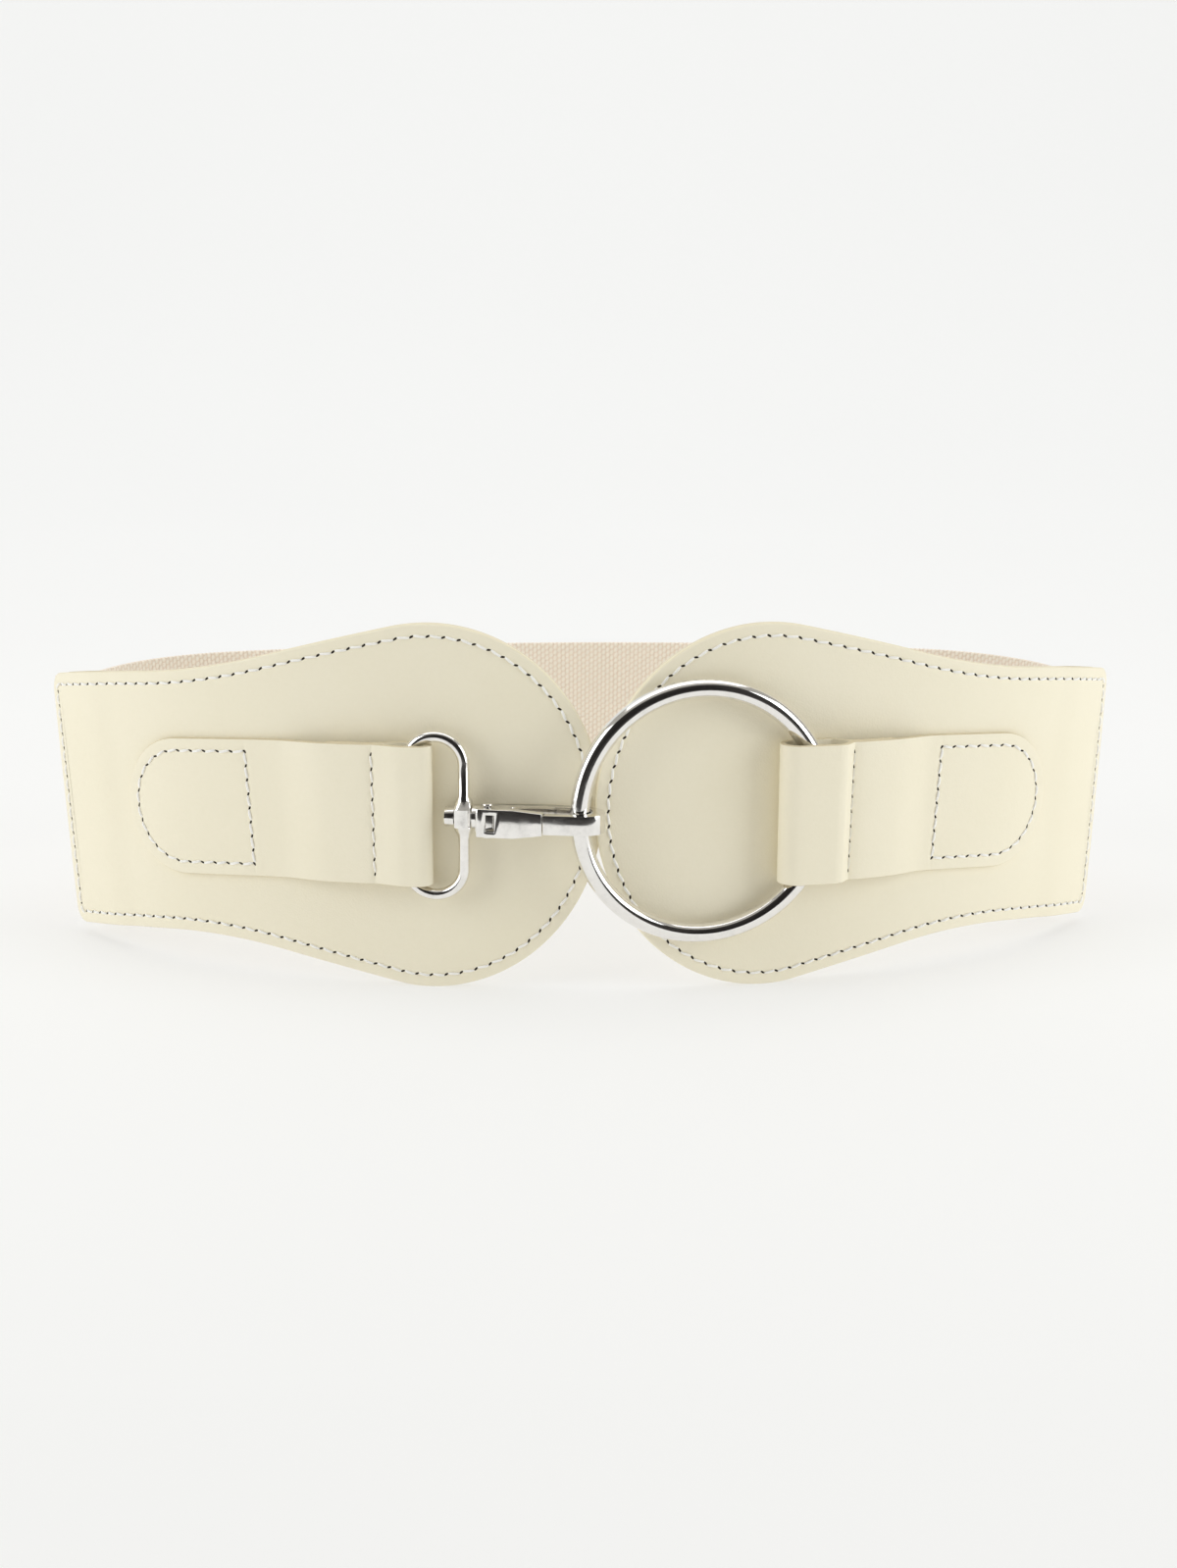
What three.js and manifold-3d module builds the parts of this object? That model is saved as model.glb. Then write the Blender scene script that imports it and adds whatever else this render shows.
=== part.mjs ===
// Elastic stretch waist belt, closed and standing on its lower edge.
// Two stitched leather panels, an elastic band behind, and a swivel hook that holds a round ring.
// Millimetres. X runs along the front from the hook's panel to the ring's panel, the front faces -Y,
// and +Z is up from the surface that the belt stands on.
import * as THREE from 'three';
import { mergeVertices } from 'three/addons/utils/BufferGeometryUtils.js';
import Module from 'manifold-3d';

const wasm = await Module();
wasm.setup();

const CLEARANCE = 0.3;

// Leather panels
const PANEL_LENGTH = 170;
const BULGE_HEIGHT = 97;
const BULGE_REACH = 45;
const END_HEIGHT = 71;
const END_CORNER = 5;
const SHOULDER_ANGLE = 13;
const SHOULDER_RADIUS = 170;
const FACE_PLY = 1.5;
const BACKING_PLY = 1.2;
const BOW_RADIUS = 720;
const TIP_OVERLAP = 2;
const LEAD_RUN = 100;

// Elastic band
const ELASTIC_WIDTH = 67;
const ELASTIC_THICKNESS = 1.4;
const ELASTIC_LAP = 14;
const ELASTIC_RISE_RUN = 34;
const ELASTIC_SIDE_LENGTH = 80;

// Straps
const STRAP_WIDTH = 37.2;
const STRAP_PLY = 1.4;
const STRAP_END_REACH = 134;
const LEFT_FOLD_REACH = 43.5;
const LEFT_UNDER_LAYER = 27;
const LEFT_FOLD_ROW = 15;
const LEFT_EYE_OPENING = 4.6;
const RIGHT_UNDER_LAYER = 31;
const RIGHT_FOLD_ROW = 19;
const RIGHT_EYE_OPENING = 6.8;
const STRAP_DROP = 0.8;
const STRAP_LIFT_END = 92;
const EYE_SLACK = 0.6;

// Ring
const RING_OUTER = 70;
const RING_WIRE = 5;
const RING_RISE = 0.3;
const RING_SLACK = 0.3;

// Swivel loop
const LOOP_HEIGHT = 45;
const LOOP_WIDTH = 18;
const LOOP_WIRE = 3;
const LOOP_DROP = 1;
const BOSS_LENGTH = 11.4;
const BOSS_THICKNESS = 4.2;
const BOSS_DEPTH = 7;
const SHANK_DIAMETER = 3.2;

// Hook, its gate and its pin
const UNIT_TILT = 9.9;
const RIVET_DIAMETER = 5.2;
const RIVET_LENGTH = 2.4;
const NECK_DIAMETER = 6.4;
const NECK_LENGTH = 1.4;
const HOOK_LENGTH = 33;
const HOOK_BACK_BAR = 2.8;
const HOOK_END_WALL = 3.4;
const HOOK_BASE_LENGTH = 8;
const HOOK_CENTRE_OFFSET = 1.2;
const HOOK_BELLY = 1.45;
const GATE_HEIGHT = 7.4;
const GATE_TIP_HEIGHT = 5.4;
const GATE_REACH = 15;
const GATE_PLATE = 1.3;
const GATE_BAR = 2.5;
const GATE_FLANGE = 0.9;
const GATE_FLANGE_REACH = 6.4;
const GATE_WINDOW_LENGTH = 2.3;
const GATE_WINDOW_HEIGHT = 4.4;
const PIN_DIAMETER = 1.6;
const PIN_HEAD_DIAMETER = 2.8;
const PIN_HEAD_HEIGHT = 0.5;
const PIN_SETBACK = 2.9;

// Meshing
const PANEL_STATIONS = 32;
const ELASTIC_STATIONS = 91;
const ELASTIC_LEVELS = 6;
const WIRE_SIDES = 12;

// Values that follow from the sizes above
const ELASTIC_HALF_GAP = ELASTIC_THICKNESS / 2 + CLEARANCE;
const PANEL_OUTER = CLEARANCE / 2 + FACE_PLY;
const PANEL_INNER = CLEARANCE / 2 + BACKING_PLY;
const TIP_LEAD = PANEL_OUTER + PANEL_INNER + CLEARANCE;
const END_LEAN = END_HEIGHT / 2 * Math.sin((PANEL_LENGTH - BULGE_REACH) / BOW_RADIUS);
const RING_CENTRE_Z = BULGE_HEIGHT / 2 + RING_RISE;
const LOOP_CENTRE_Z = BULGE_HEIGHT / 2 - LOOP_DROP;
const radians = THREE.MathUtils.degToRad;
const smooth = (value, from, to) => THREE.MathUtils.smoothstep(value, from, to);

// The plan of one half of the belt, from the middle of the front to the middle of the back.
// Each row is an arc: its length as a share of the panel or of the elastic's side, and its turn in degrees.
// The panel's end leans outward at the top, so the elastic leaves it sooner at its lower edge:
// lean is how much the level moves that place, and level goes from -1 at the lower edge to 1 at the upper.
// The last arc, across the back, closes the loop by itself.
const PLAN_ROWS = [
  { name: 'flat front', length: 0.294 * PANEL_LENGTH, turn: 10.5, lean: 0 },
  { name: 'under the bulge', length: 0.324 * PANEL_LENGTH, turn: 18.3, lean: 0 },
  { name: 'outer end', length: 0.382 * PANEL_LENGTH, turn: 31.5, lean: END_LEAN },
  { name: 'elastic leaves the panel', length: 0.075 * ELASTIC_SIDE_LENGTH, turn: 36, lean: 0 },
  { name: 'side', length: 0.3834 * ELASTIC_SIDE_LENGTH + END_LEAN, turn: 15, lean: -END_LEAN },
  { name: 'rear corner', length: 0.61 * ELASTIC_SIDE_LENGTH, turn: 53, lean: 0 },
];
const OUTER_END_TURN_RATE = 31.5 / (0.382 * PANEL_LENGTH);

function planArcs(level) {
  const arcs = [];
  let x = 0;
  let y = 0;
  let heading = 0;
  let start = 0;
  const add = (length, turn) => {
    arcs.push({ start, length, x, y, heading, curvature: turn / length });
    const end = arcPoint(arcs.at(-1), length);
    x = end.x;
    y = end.y;
    heading += turn;
    start += length;
  };
  for (const row of PLAN_ROWS) {
    add(row.length + level * row.lean, radians(row.turn + level * row.lean * OUTER_END_TURN_RATE));
  }
  const backTurn = Math.PI - heading;
  const backRadius = x / Math.sin(backTurn);
  add(backRadius * backTurn, backTurn);
  return arcs;
}

function arcPoint(arc, run) {
  const turned = arc.heading + arc.curvature * run;
  const radius = 1 / arc.curvature;
  return {
    x: arc.x + radius * (Math.sin(turned) - Math.sin(arc.heading)),
    y: arc.y - radius * (Math.cos(turned) - Math.cos(arc.heading)),
    heading: turned,
  };
}

const ARCS = planArcs(1);
const ELASTIC_ARCS = Array.from({ length: ELASTIC_LEVELS + 1 }, (_, i) => planArcs(2 * i / ELASTIC_LEVELS - 1));
const halfLoop = (arcs) => arcs.at(-1).start + arcs.at(-1).length;

// A point of the plan curve at a run from the front's middle, moved outward by a depth.
// side is -1 for the hook's half and +1 for the ring's half.
function planPoint(side, run, depth, arcs = ARCS) {
  let point;
  if (run <= 0) {
    point = { x: run, y: 0, heading: 0 };
  } else {
    const arc = arcs.findLast((row) => row.start <= run) ?? arcs[0];
    point = arcPoint(arc, run - arc.start);
  }
  const x = point.x + depth * Math.sin(point.heading);
  const y = point.y - depth * Math.cos(point.heading);
  return new THREE.Vector2(side * x, y);
}

// The ring's panel stands a little forward at its tip and the hook's panel a little back,
// so that the two tips pass each other.
function tipLead(side, run) {
  const share = Math.max(0, 1 - run / LEAD_RUN);
  return side * 0.5 * TIP_LEAD * share * share;
}

// Pattern of a panel: along is measured from its tip, across is measured up from its middle line.
// Past the bulge the middle line bows down, so that the outer end hangs low.
function patternPoint(side, along, across, depth) {
  const past = Math.max(0, along - BULGE_REACH);
  const bow = past / BOW_RADIUS;
  const flat = Math.min(along, BULGE_REACH);
  const run = flat + (BOW_RADIUS + across) * Math.sin(bow) - TIP_OVERLAP / 2;
  const z = BULGE_HEIGHT / 2 - BOW_RADIUS * (1 - Math.cos(bow)) + across * Math.cos(bow);
  const plan = planPoint(side, run, depth + tipLead(side, run));
  return new THREE.Vector3(plan.x, plan.y, z);
}

// Half of a panel's height at a distance from its tip: an elliptical bulge, a straight shoulder,
// a hollow curve and the plain outer end with its rounded corners.
function panelHalfHeight(along) {
  const half = BULGE_HEIGHT / 2;
  const slope = Math.tan(radians(SHOULDER_ANGLE));
  const past = along - BULGE_REACH;
  const bulge = (run) => half * Math.sqrt(Math.max(0, 1 - (run / BULGE_REACH) ** 2));
  const leave = BULGE_REACH ** 2 * slope / Math.hypot(half, BULGE_REACH * slope);
  const hollowDrop = SHOULDER_RADIUS * (1 - Math.cos(radians(SHOULDER_ANGLE)));
  const hollowRun = SHOULDER_RADIUS * Math.sin(radians(SHOULDER_ANGLE));
  const straight = (bulge(leave) - END_HEIGHT / 2 - hollowDrop) / slope;
  const hollowEnd = leave + straight + hollowRun;
  let height = END_HEIGHT / 2;
  if (past <= leave) {
    height = bulge(past);
  } else if (past <= leave + straight) {
    height = bulge(leave) - (past - leave) * slope;
  } else if (past <= hollowEnd) {
    const left = hollowEnd - past;
    height += SHOULDER_RADIUS - Math.sqrt(SHOULDER_RADIUS ** 2 - left ** 2);
  }
  const toEnd = PANEL_LENGTH - along;
  if (toEnd < END_CORNER) {
    const into = END_CORNER - toEnd;
    height -= END_CORNER - Math.sqrt(Math.max(0, END_CORNER ** 2 - into ** 2));
  }
  return height;
}

// Takes a geometry made of triangles and returns it welded, without normals or texture coordinates.
function welded(geometry) {
  geometry.deleteAttribute('normal');
  geometry.deleteAttribute('uv');
  return mergeVertices(geometry, 1e-4);
}

function toManifold(geometry) {
  const clean = welded(geometry.clone());
  return new wasm.Manifold(new wasm.Mesh({
    numProp: 3,
    vertProperties: Float32Array.from(clean.attributes.position.array),
    triVerts: Uint32Array.from(clean.index.array),
  }));
}

function fromManifold(solid) {
  const mesh = solid.getMesh();
  const geometry = new THREE.BufferGeometry();
  geometry.setAttribute('position', new THREE.BufferAttribute(Float32Array.from(mesh.vertProperties), 3));
  geometry.setIndex(Array.from(mesh.triVerts));
  return geometry;
}

// A box whose length, height and thickness are bent into a wall.
// place(share, level, layer) takes 0 to 1 along, -1 to 1 up and -1 to 1 outward.
// flip is true where the wall's own directions are mirrored.
function bentBox(stations, levels, flip, place) {
  const geometry = welded(new THREE.BoxGeometry(1, 1, 1, stations, levels, 1));
  const position = geometry.attributes.position;
  for (let i = 0; i < position.count; i += 1) {
    const share = position.getX(i) + 0.5;
    const level = 2 * position.getY(i);
    const layer = 2 * position.getZ(i);
    const point = place(share, level, layer);
    position.setXYZ(i, point.x, point.y, point.z);
  }
  if (flip) {
    const index = geometry.index.array;
    for (let i = 0; i < index.length; i += 3) {
      [index[i + 1], index[i + 2]] = [index[i + 2], index[i + 1]];
    }
  }
  return geometry;
}

// Stations of a panel lie close together round its tip and at its outer corners.
function panelStation(share) {
  const tipShare = 0.4;
  const cornerShare = 0.88;
  if (share < tipShare) {
    return BULGE_REACH * (1 - Math.cos((share / tipShare) * 0.97 * Math.PI / 2 + 0.03 * Math.PI / 2));
  }
  if (share < cornerShare) {
    const run = (share - tipShare) / (cornerShare - tipShare);
    return BULGE_REACH + run * (PANEL_LENGTH - END_CORNER - BULGE_REACH);
  }
  const turn = (share - cornerShare) / (1 - cornerShare) * Math.PI / 2;
  return PANEL_LENGTH - END_CORNER * (1 - Math.sin(turn));
}

// One ply of a panel. The plies lie together and part at the outer end to take the elastic between them.
function panelPly(side, isFace) {
  const thickness = isFace ? FACE_PLY : BACKING_PLY;
  const outward = isFace ? 1 : -1;
  const lapStart = PANEL_LENGTH - ELASTIC_LAP;
  return bentBox(PANEL_STATIONS, 3, side * outward < 0, (share, level, layer) => {
    const along = panelStation(share);
    const parted = smooth(along, lapStart - END_LEAN - 12, lapStart - END_LEAN - 1);
    const near = THREE.MathUtils.lerp(CLEARANCE / 2, ELASTIC_HALF_GAP, parted);
    const depth = outward * (near + thickness * (layer + 1) / 2);
    return patternPoint(side, along, level * panelHalfHeight(along), depth);
  });
}

// The elastic band runs between the plies of one panel, round the back, and into the other panel.
// It stands on its lower edge and lifts a little to meet the raised outer ends.
function elasticBand() {
  const first = PANEL_LENGTH - TIP_OVERLAP / 2 - ELASTIC_LAP;
  const lapZ = patternPoint(1, PANEL_LENGTH - ELASTIC_LAP / 2, 0, 0).z - ELASTIC_WIDTH / 2;
  return bentBox(ELASTIC_STATIONS, ELASTIC_LEVELS, false, (share, level, layer) => {
    const arcs = ELASTIC_ARCS[Math.round((level + 1) / 2 * ELASTIC_LEVELS)];
    const length = 2 * (halfLoop(arcs) - first);
    const travelled = share * length;
    const side = share < 0.5 ? 1 : -1;
    const run = side > 0 ? first + travelled : first + length - travelled;
    const lift = lapZ * (1 - smooth(run, first + ELASTIC_LAP, first + ELASTIC_LAP + ELASTIC_RISE_RUN));
    const plan = planPoint(side, run, layer * ELASTIC_THICKNESS / 2, arcs);
    return new THREE.Vector3(plan.x, plan.y, lift + ELASTIC_WIDTH * (level + 1) / 2);
  });
}

// The course of a strap's middle layer, seen from above, as distances along the panel and outward from it.
// It starts at the sewn round end, rises over its own under layer, folds round the metal and comes back.
// The row of stitches behind the metal holds both layers at the middle of the fold, off the panel.
function strapCourse(fold) {
  const low = PANEL_OUTER + CLEARANCE + STRAP_PLY / 2;
  const doubled = low + STRAP_PLY + CLEARANCE;
  const high = low + fold.opening + STRAP_PLY;
  const bend = (high - low) / 2;
  const turnAt = fold.reach + STRAP_PLY / 2 + bend;
  const underEnd = fold.reach + fold.underLayer;
  const row = fold.reach + fold.row;
  const roundEnd = STRAP_WIDTH / 2;
  const endStart = STRAP_END_REACH - roundEnd;
  const lifted = (fold.opening - CLEARANCE) / 2;
  const lift = (along) => lifted * (along < row ? smooth(along, row - fold.closing, row)
    : 1 - smooth(along, row, STRAP_LIFT_END));
  const course = [];
  const add = (steps, place) => {
    for (let i = 0; i < steps; i += 1) {
      course.push(place((i + 0.5) / steps));
    }
  };
  add(8, (share) => ({ along: endStart + roundEnd * Math.cos(share * Math.PI / 2), depth: low }));
  add(36, (share) => {
    const along = THREE.MathUtils.lerp(endStart, turnAt, share);
    const step = 1 - smooth(along, underEnd + 0.6, underEnd + 14);
    const rise = 1 - smooth(along, row - fold.closing, row);
    return { along, depth: low + (doubled - low) * step + lift(along) + (high - doubled) * rise };
  });
  const foldAt = course.length;
  add(8, (share) => ({
    along: turnAt - bend * Math.sin(share * Math.PI),
    depth: (high + low) / 2 + bend * Math.cos(share * Math.PI),
  }));
  add(12, (share) => {
    const along = THREE.MathUtils.lerp(turnAt, underEnd, share);
    return { along, depth: low + lift(along) };
  });
  return { course, foldAt };
}

// Half of a strap's width: its sewn end is a half circle.
function strapHalfWidth(along) {
  const half = STRAP_WIDTH / 2;
  const into = Math.max(0, along - (STRAP_END_REACH - half));
  return Math.sqrt(half ** 2 - Math.min(half, into) ** 2);
}

function strap(side, fold) {
  const { course, foldAt } = strapCourse(fold);
  const last = course.length - 1;
  return bentBox(last, 2, side > 0, (share, level, layer) => {
    const i = Math.round(share * last);
    const before = course[Math.max(0, i - 1)];
    const after = course[Math.min(last, i + 1)];
    const tangent = new THREE.Vector2(after.along - before.along, after.depth - before.depth).normalize();
    const offset = layer * STRAP_PLY / 2;
    const half = i < foldAt ? strapHalfWidth(course[i].along) : STRAP_WIDTH / 2;
    const along = course[i].along + tangent.y * offset;
    const depth = course[i].depth - tangent.x * offset;
    return patternPoint(side, along, level * half - STRAP_DROP, depth);
  });
}

// Middle of the eye that a fold leaves for the metal, at a distance past the fold's outer edge.
function eyeCentre(side, fold, inset) {
  const depth = PANEL_OUTER + CLEARANCE + STRAP_PLY + fold.opening / 2;
  return patternPoint(side, fold.reach + inset, -STRAP_DROP, depth);
}

// A round corner of wire draws back inside a fold. This is the distance from the wire's middle line, where
// it lies deepest, to its near side at the further edge of the strap.
function nearSide(radius, wire, straightHalf, centreZ) {
  const offset = Math.abs(centreZ - (BULGE_HEIGHT / 2 - STRAP_DROP));
  const past = Math.max(0, STRAP_WIDTH / 2 + offset - straightHalf);
  return radius - Math.sqrt(Math.max(0, (radius - wire / 2) ** 2 - past ** 2));
}

// The loop and the hook are one straight unit. It starts at the loop's bar inside the hook-side fold,
// and leans forward so that the hook's end stands clear of the panel tips.
// Along the unit x is measured from that bar, and -y faces outward.
const LEFT_FOLD = {
  reach: LEFT_FOLD_REACH,
  underLayer: LEFT_UNDER_LAYER,
  row: LEFT_FOLD_ROW,
  opening: LEFT_EYE_OPENING,
  closing: 8.5,
};
const LOOP_RUN = LOOP_WIDTH - LOOP_WIRE;
const LOOP_STRAIGHT_HALF = (LOOP_HEIGHT - LOOP_WIDTH) / 2;
const LOOP_NEAR_SIDE = nearSide(LOOP_RUN / 2, LOOP_WIRE, LOOP_STRAIGHT_HALF, LOOP_CENTRE_Z);
const LOOP_INSET = STRAP_PLY + EYE_SLACK + LOOP_NEAR_SIDE;
const BOSS_FACE = LOOP_RUN + BOSS_THICKNESS / 2;
const BASE_START = BOSS_FACE + CLEARANCE + NECK_LENGTH;
const HOOK_END = BASE_START + HOOK_LENGTH;
const HOOK_HEIGHT = GATE_HEIGHT - 2 * (GATE_FLANGE + CLEARANCE);
const HOOK_INSIDE = RING_WIRE / 2 + CLEARANCE + RING_SLACK;
const GATE_FRONT = HOOK_CENTRE_OFFSET + HOOK_INSIDE + GATE_BAR;
const PIN_X = BASE_START + PIN_SETBACK;
const PIN_Y = -(GATE_FRONT - GATE_PLATE - CLEARANCE) + 2.1;
const unitStart = eyeCentre(-1, LEFT_FOLD, LOOP_INSET);

function unitPoint(x, y) {
  const turned = new THREE.Vector2(x, y).rotateAround(new THREE.Vector2(), -radians(UNIT_TILT));
  return new THREE.Vector2(unitStart.x + turned.x, unitStart.y + turned.y);
}

// The ring lies in the hook's end, and its far side decides where the ring-side strap folds.
const RING_RADIUS = (RING_OUTER - RING_WIRE) / 2;
const RING_INSET = STRAP_PLY + EYE_SLACK + nearSide(RING_RADIUS, RING_WIRE, 0, RING_CENTRE_Z);
const ringCaught = unitPoint(HOOK_END - HOOK_END_WALL - HOOK_INSIDE, -HOOK_CENTRE_OFFSET);

function ringSideFold() {
  const fold = {
    reach: 0,
    underLayer: RIGHT_UNDER_LAYER,
    row: RIGHT_FOLD_ROW,
    opening: RIGHT_EYE_OPENING,
    closing: 4.5,
  };
  let near = 0;
  let far = PANEL_LENGTH;
  for (let i = 0; i < 40; i += 1) {
    fold.reach = (near + far) / 2;
    const held = eyeCentre(1, fold, RING_INSET);
    const apart = Math.hypot(held.x - ringCaught.x, held.y - ringCaught.y);
    if (apart < 2 * RING_RADIUS) {
      near = fold.reach;
    } else {
      far = fold.reach;
    }
  }
  return fold;
}

const RIGHT_FOLD = ringSideFold();

function ring() {
  const held = eyeCentre(1, RIGHT_FOLD, RING_INSET);
  const yaw = Math.atan2(held.y - ringCaught.y, held.x - ringCaught.x);
  const geometry = new THREE.TorusGeometry(RING_RADIUS, RING_WIRE / 2, WIRE_SIDES, 56);
  geometry.rotateX(Math.PI / 2);
  geometry.rotateZ(yaw);
  geometry.translate((held.x + ringCaught.x) / 2, (held.y + ringCaught.y) / 2, RING_CENTRE_Z);
  return welded(geometry);
}

// The swivel loop is a wire bent to a long oval, with a bored boss on the bar nearest the hook.
function swivelLoop() {
  const turn = LOOP_RUN / 2;
  const centreLine = new THREE.Path();
  centreLine.absarc(turn, LOOP_STRAIGHT_HALF, turn, 0, Math.PI);
  centreLine.absarc(turn, -LOOP_STRAIGHT_HALF, turn, Math.PI, 2 * Math.PI);
  centreLine.closePath();
  const wire = new THREE.TorusGeometry(1, 0.1, WIRE_SIDES, 48);
  const { position, uv } = wire.attributes;
  for (let i = 0; i < position.count; i += 1) {
    const share = uv.getX(i) % 1;
    const round = uv.getY(i) * 2 * Math.PI;
    const point = centreLine.getPointAt(share);
    const tangent = centreLine.getTangentAt(share);
    const out = LOOP_WIRE / 2 * Math.cos(round);
    position.setXYZ(i, point.x + tangent.y * out, point.y - tangent.x * out, LOOP_WIRE / 2 * Math.sin(round));
  }
  wire.rotateX(Math.PI / 2);
  const half = BOSS_LENGTH / 2;
  const boss = new THREE.LatheGeometry([
    new THREE.Vector2(0, -half),
    new THREE.Vector2(0.9 * LOOP_WIRE / 2, -half),
    new THREE.Vector2(BOSS_DEPTH / 2, -0.42 * half),
    new THREE.Vector2(BOSS_DEPTH / 2, 0.42 * half),
    new THREE.Vector2(0.9 * LOOP_WIRE / 2, half),
    new THREE.Vector2(0, half),
  ], 16);
  boss.rotateX(Math.PI / 2);
  const slab = new THREE.BoxGeometry(BOSS_THICKNESS, 2 * BOSS_DEPTH, 2 * BOSS_LENGTH);
  const bore = new THREE.CylinderGeometry(SHANK_DIAMETER / 2 + CLEARANCE, SHANK_DIAMETER / 2 + CLEARANCE,
    4 * BOSS_THICKNESS, WIRE_SIDES);
  bore.rotateZ(Math.PI / 2);
  for (const geometry of [boss, slab, bore]) {
    geometry.translate(LOOP_RUN, 0, 0);
  }
  const block = toManifold(boss).intersect(toManifold(slab));
  return fromManifold(toManifold(wire).add(block).subtract(toManifold(bore)));
}

// A plate of the hook: a shape seen from above, raised to a height about the middle.
function plate(shape, height) {
  const geometry = new THREE.ExtrudeGeometry(shape, { depth: height, bevelEnabled: false, curveSegments: 12 });
  geometry.translate(0, 0, -height / 2);
  return toManifold(geometry);
}

function pinHole() {
  const radius = PIN_DIAMETER / 2 + CLEARANCE;
  const hole = new THREE.CylinderGeometry(radius, radius, 3 * GATE_HEIGHT, WIRE_SIDES);
  hole.rotateX(Math.PI / 2);
  hole.translate(PIN_X, PIN_Y, 0);
  return toManifold(hole);
}

// The point where a circle about the pin meets a level line, for the faces between gate and nose.
function aboutPin(radius, y) {
  return new THREE.Vector2(PIN_X + Math.sqrt(radius ** 2 - (y - PIN_Y) ** 2), y);
}

// The hook's fixed piece: a riveted shank and neck, a base, and a bar that bends round to the nose.
function hookBody() {
  const baseEnd = BASE_START + HOOK_BASE_LENGTH;
  const baseFront = -(GATE_FRONT - GATE_PLATE - CLEARANCE);
  const inBack = HOOK_INSIDE - HOOK_CENTRE_OFFSET;
  const outBack = inBack + HOOK_BACK_BAR;
  const inFront = -HOOK_INSIDE - HOOK_CENTRE_OFFSET;
  const innerEnd = HOOK_END - HOOK_END_WALL;
  const belly = (baseEnd + innerEnd) / 2 - 2;
  const noseOut = aboutPin(GATE_REACH + CLEARANCE, -GATE_FRONT);
  const noseIn = aboutPin(GATE_REACH + CLEARANCE, inFront);
  const relief = (baseEnd - PIN_X) * Math.tan(radians(25));
  const shape = new THREE.Shape();
  shape.moveTo(BASE_START, baseFront);
  shape.lineTo(PIN_X, baseFront);
  shape.lineTo(baseEnd, baseFront + relief);
  shape.lineTo(baseEnd, inBack - 1);
  shape.quadraticCurveTo(baseEnd + 0.6, inBack + HOOK_BELLY, belly, inBack + HOOK_BELLY);
  shape.quadraticCurveTo(innerEnd - 5, inBack + HOOK_BELLY, innerEnd - HOOK_INSIDE, inBack);
  shape.absarc(innerEnd - HOOK_INSIDE, -HOOK_CENTRE_OFFSET, HOOK_INSIDE, Math.PI / 2, -Math.PI / 2, true);
  shape.lineTo(noseIn.x, noseIn.y);
  shape.lineTo(noseOut.x, noseOut.y);
  shape.lineTo(innerEnd - HOOK_INSIDE - 1, -GATE_FRONT);
  shape.quadraticCurveTo(HOOK_END, -GATE_FRONT, HOOK_END, -HOOK_CENTRE_OFFSET);
  shape.quadraticCurveTo(HOOK_END, outBack, innerEnd - HOOK_INSIDE - 1, outBack + 0.2);
  shape.quadraticCurveTo(innerEnd - 6, outBack + HOOK_BELLY, belly, outBack + HOOK_BELLY);
  shape.lineTo(BASE_START + 1.5, outBack);
  shape.lineTo(BASE_START, outBack - 1.5);
  shape.closePath();
  const rivetStart = LOOP_RUN - BOSS_THICKNESS / 2 - CLEARANCE - RIVET_LENGTH;
  const neckStart = BOSS_FACE + CLEARANCE;
  const shank = new THREE.LatheGeometry([
    new THREE.Vector2(0, rivetStart),
    new THREE.Vector2(RIVET_DIAMETER / 2, rivetStart),
    new THREE.Vector2(RIVET_DIAMETER / 2, rivetStart + RIVET_LENGTH),
    new THREE.Vector2(SHANK_DIAMETER / 2, rivetStart + RIVET_LENGTH),
    new THREE.Vector2(SHANK_DIAMETER / 2, neckStart),
    new THREE.Vector2(NECK_DIAMETER / 2, neckStart),
    new THREE.Vector2(NECK_DIAMETER / 2, BASE_START),
    new THREE.Vector2(NECK_DIAMETER / 3, BASE_START + 0.8),
    new THREE.Vector2(0, BASE_START + 0.8),
  ], WIRE_SIDES);
  shank.rotateZ(-Math.PI / 2);
  return fromManifold(plate(shape, HOOK_HEIGHT).subtract(pinHole()).add(toManifold(shank)));
}

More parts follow.
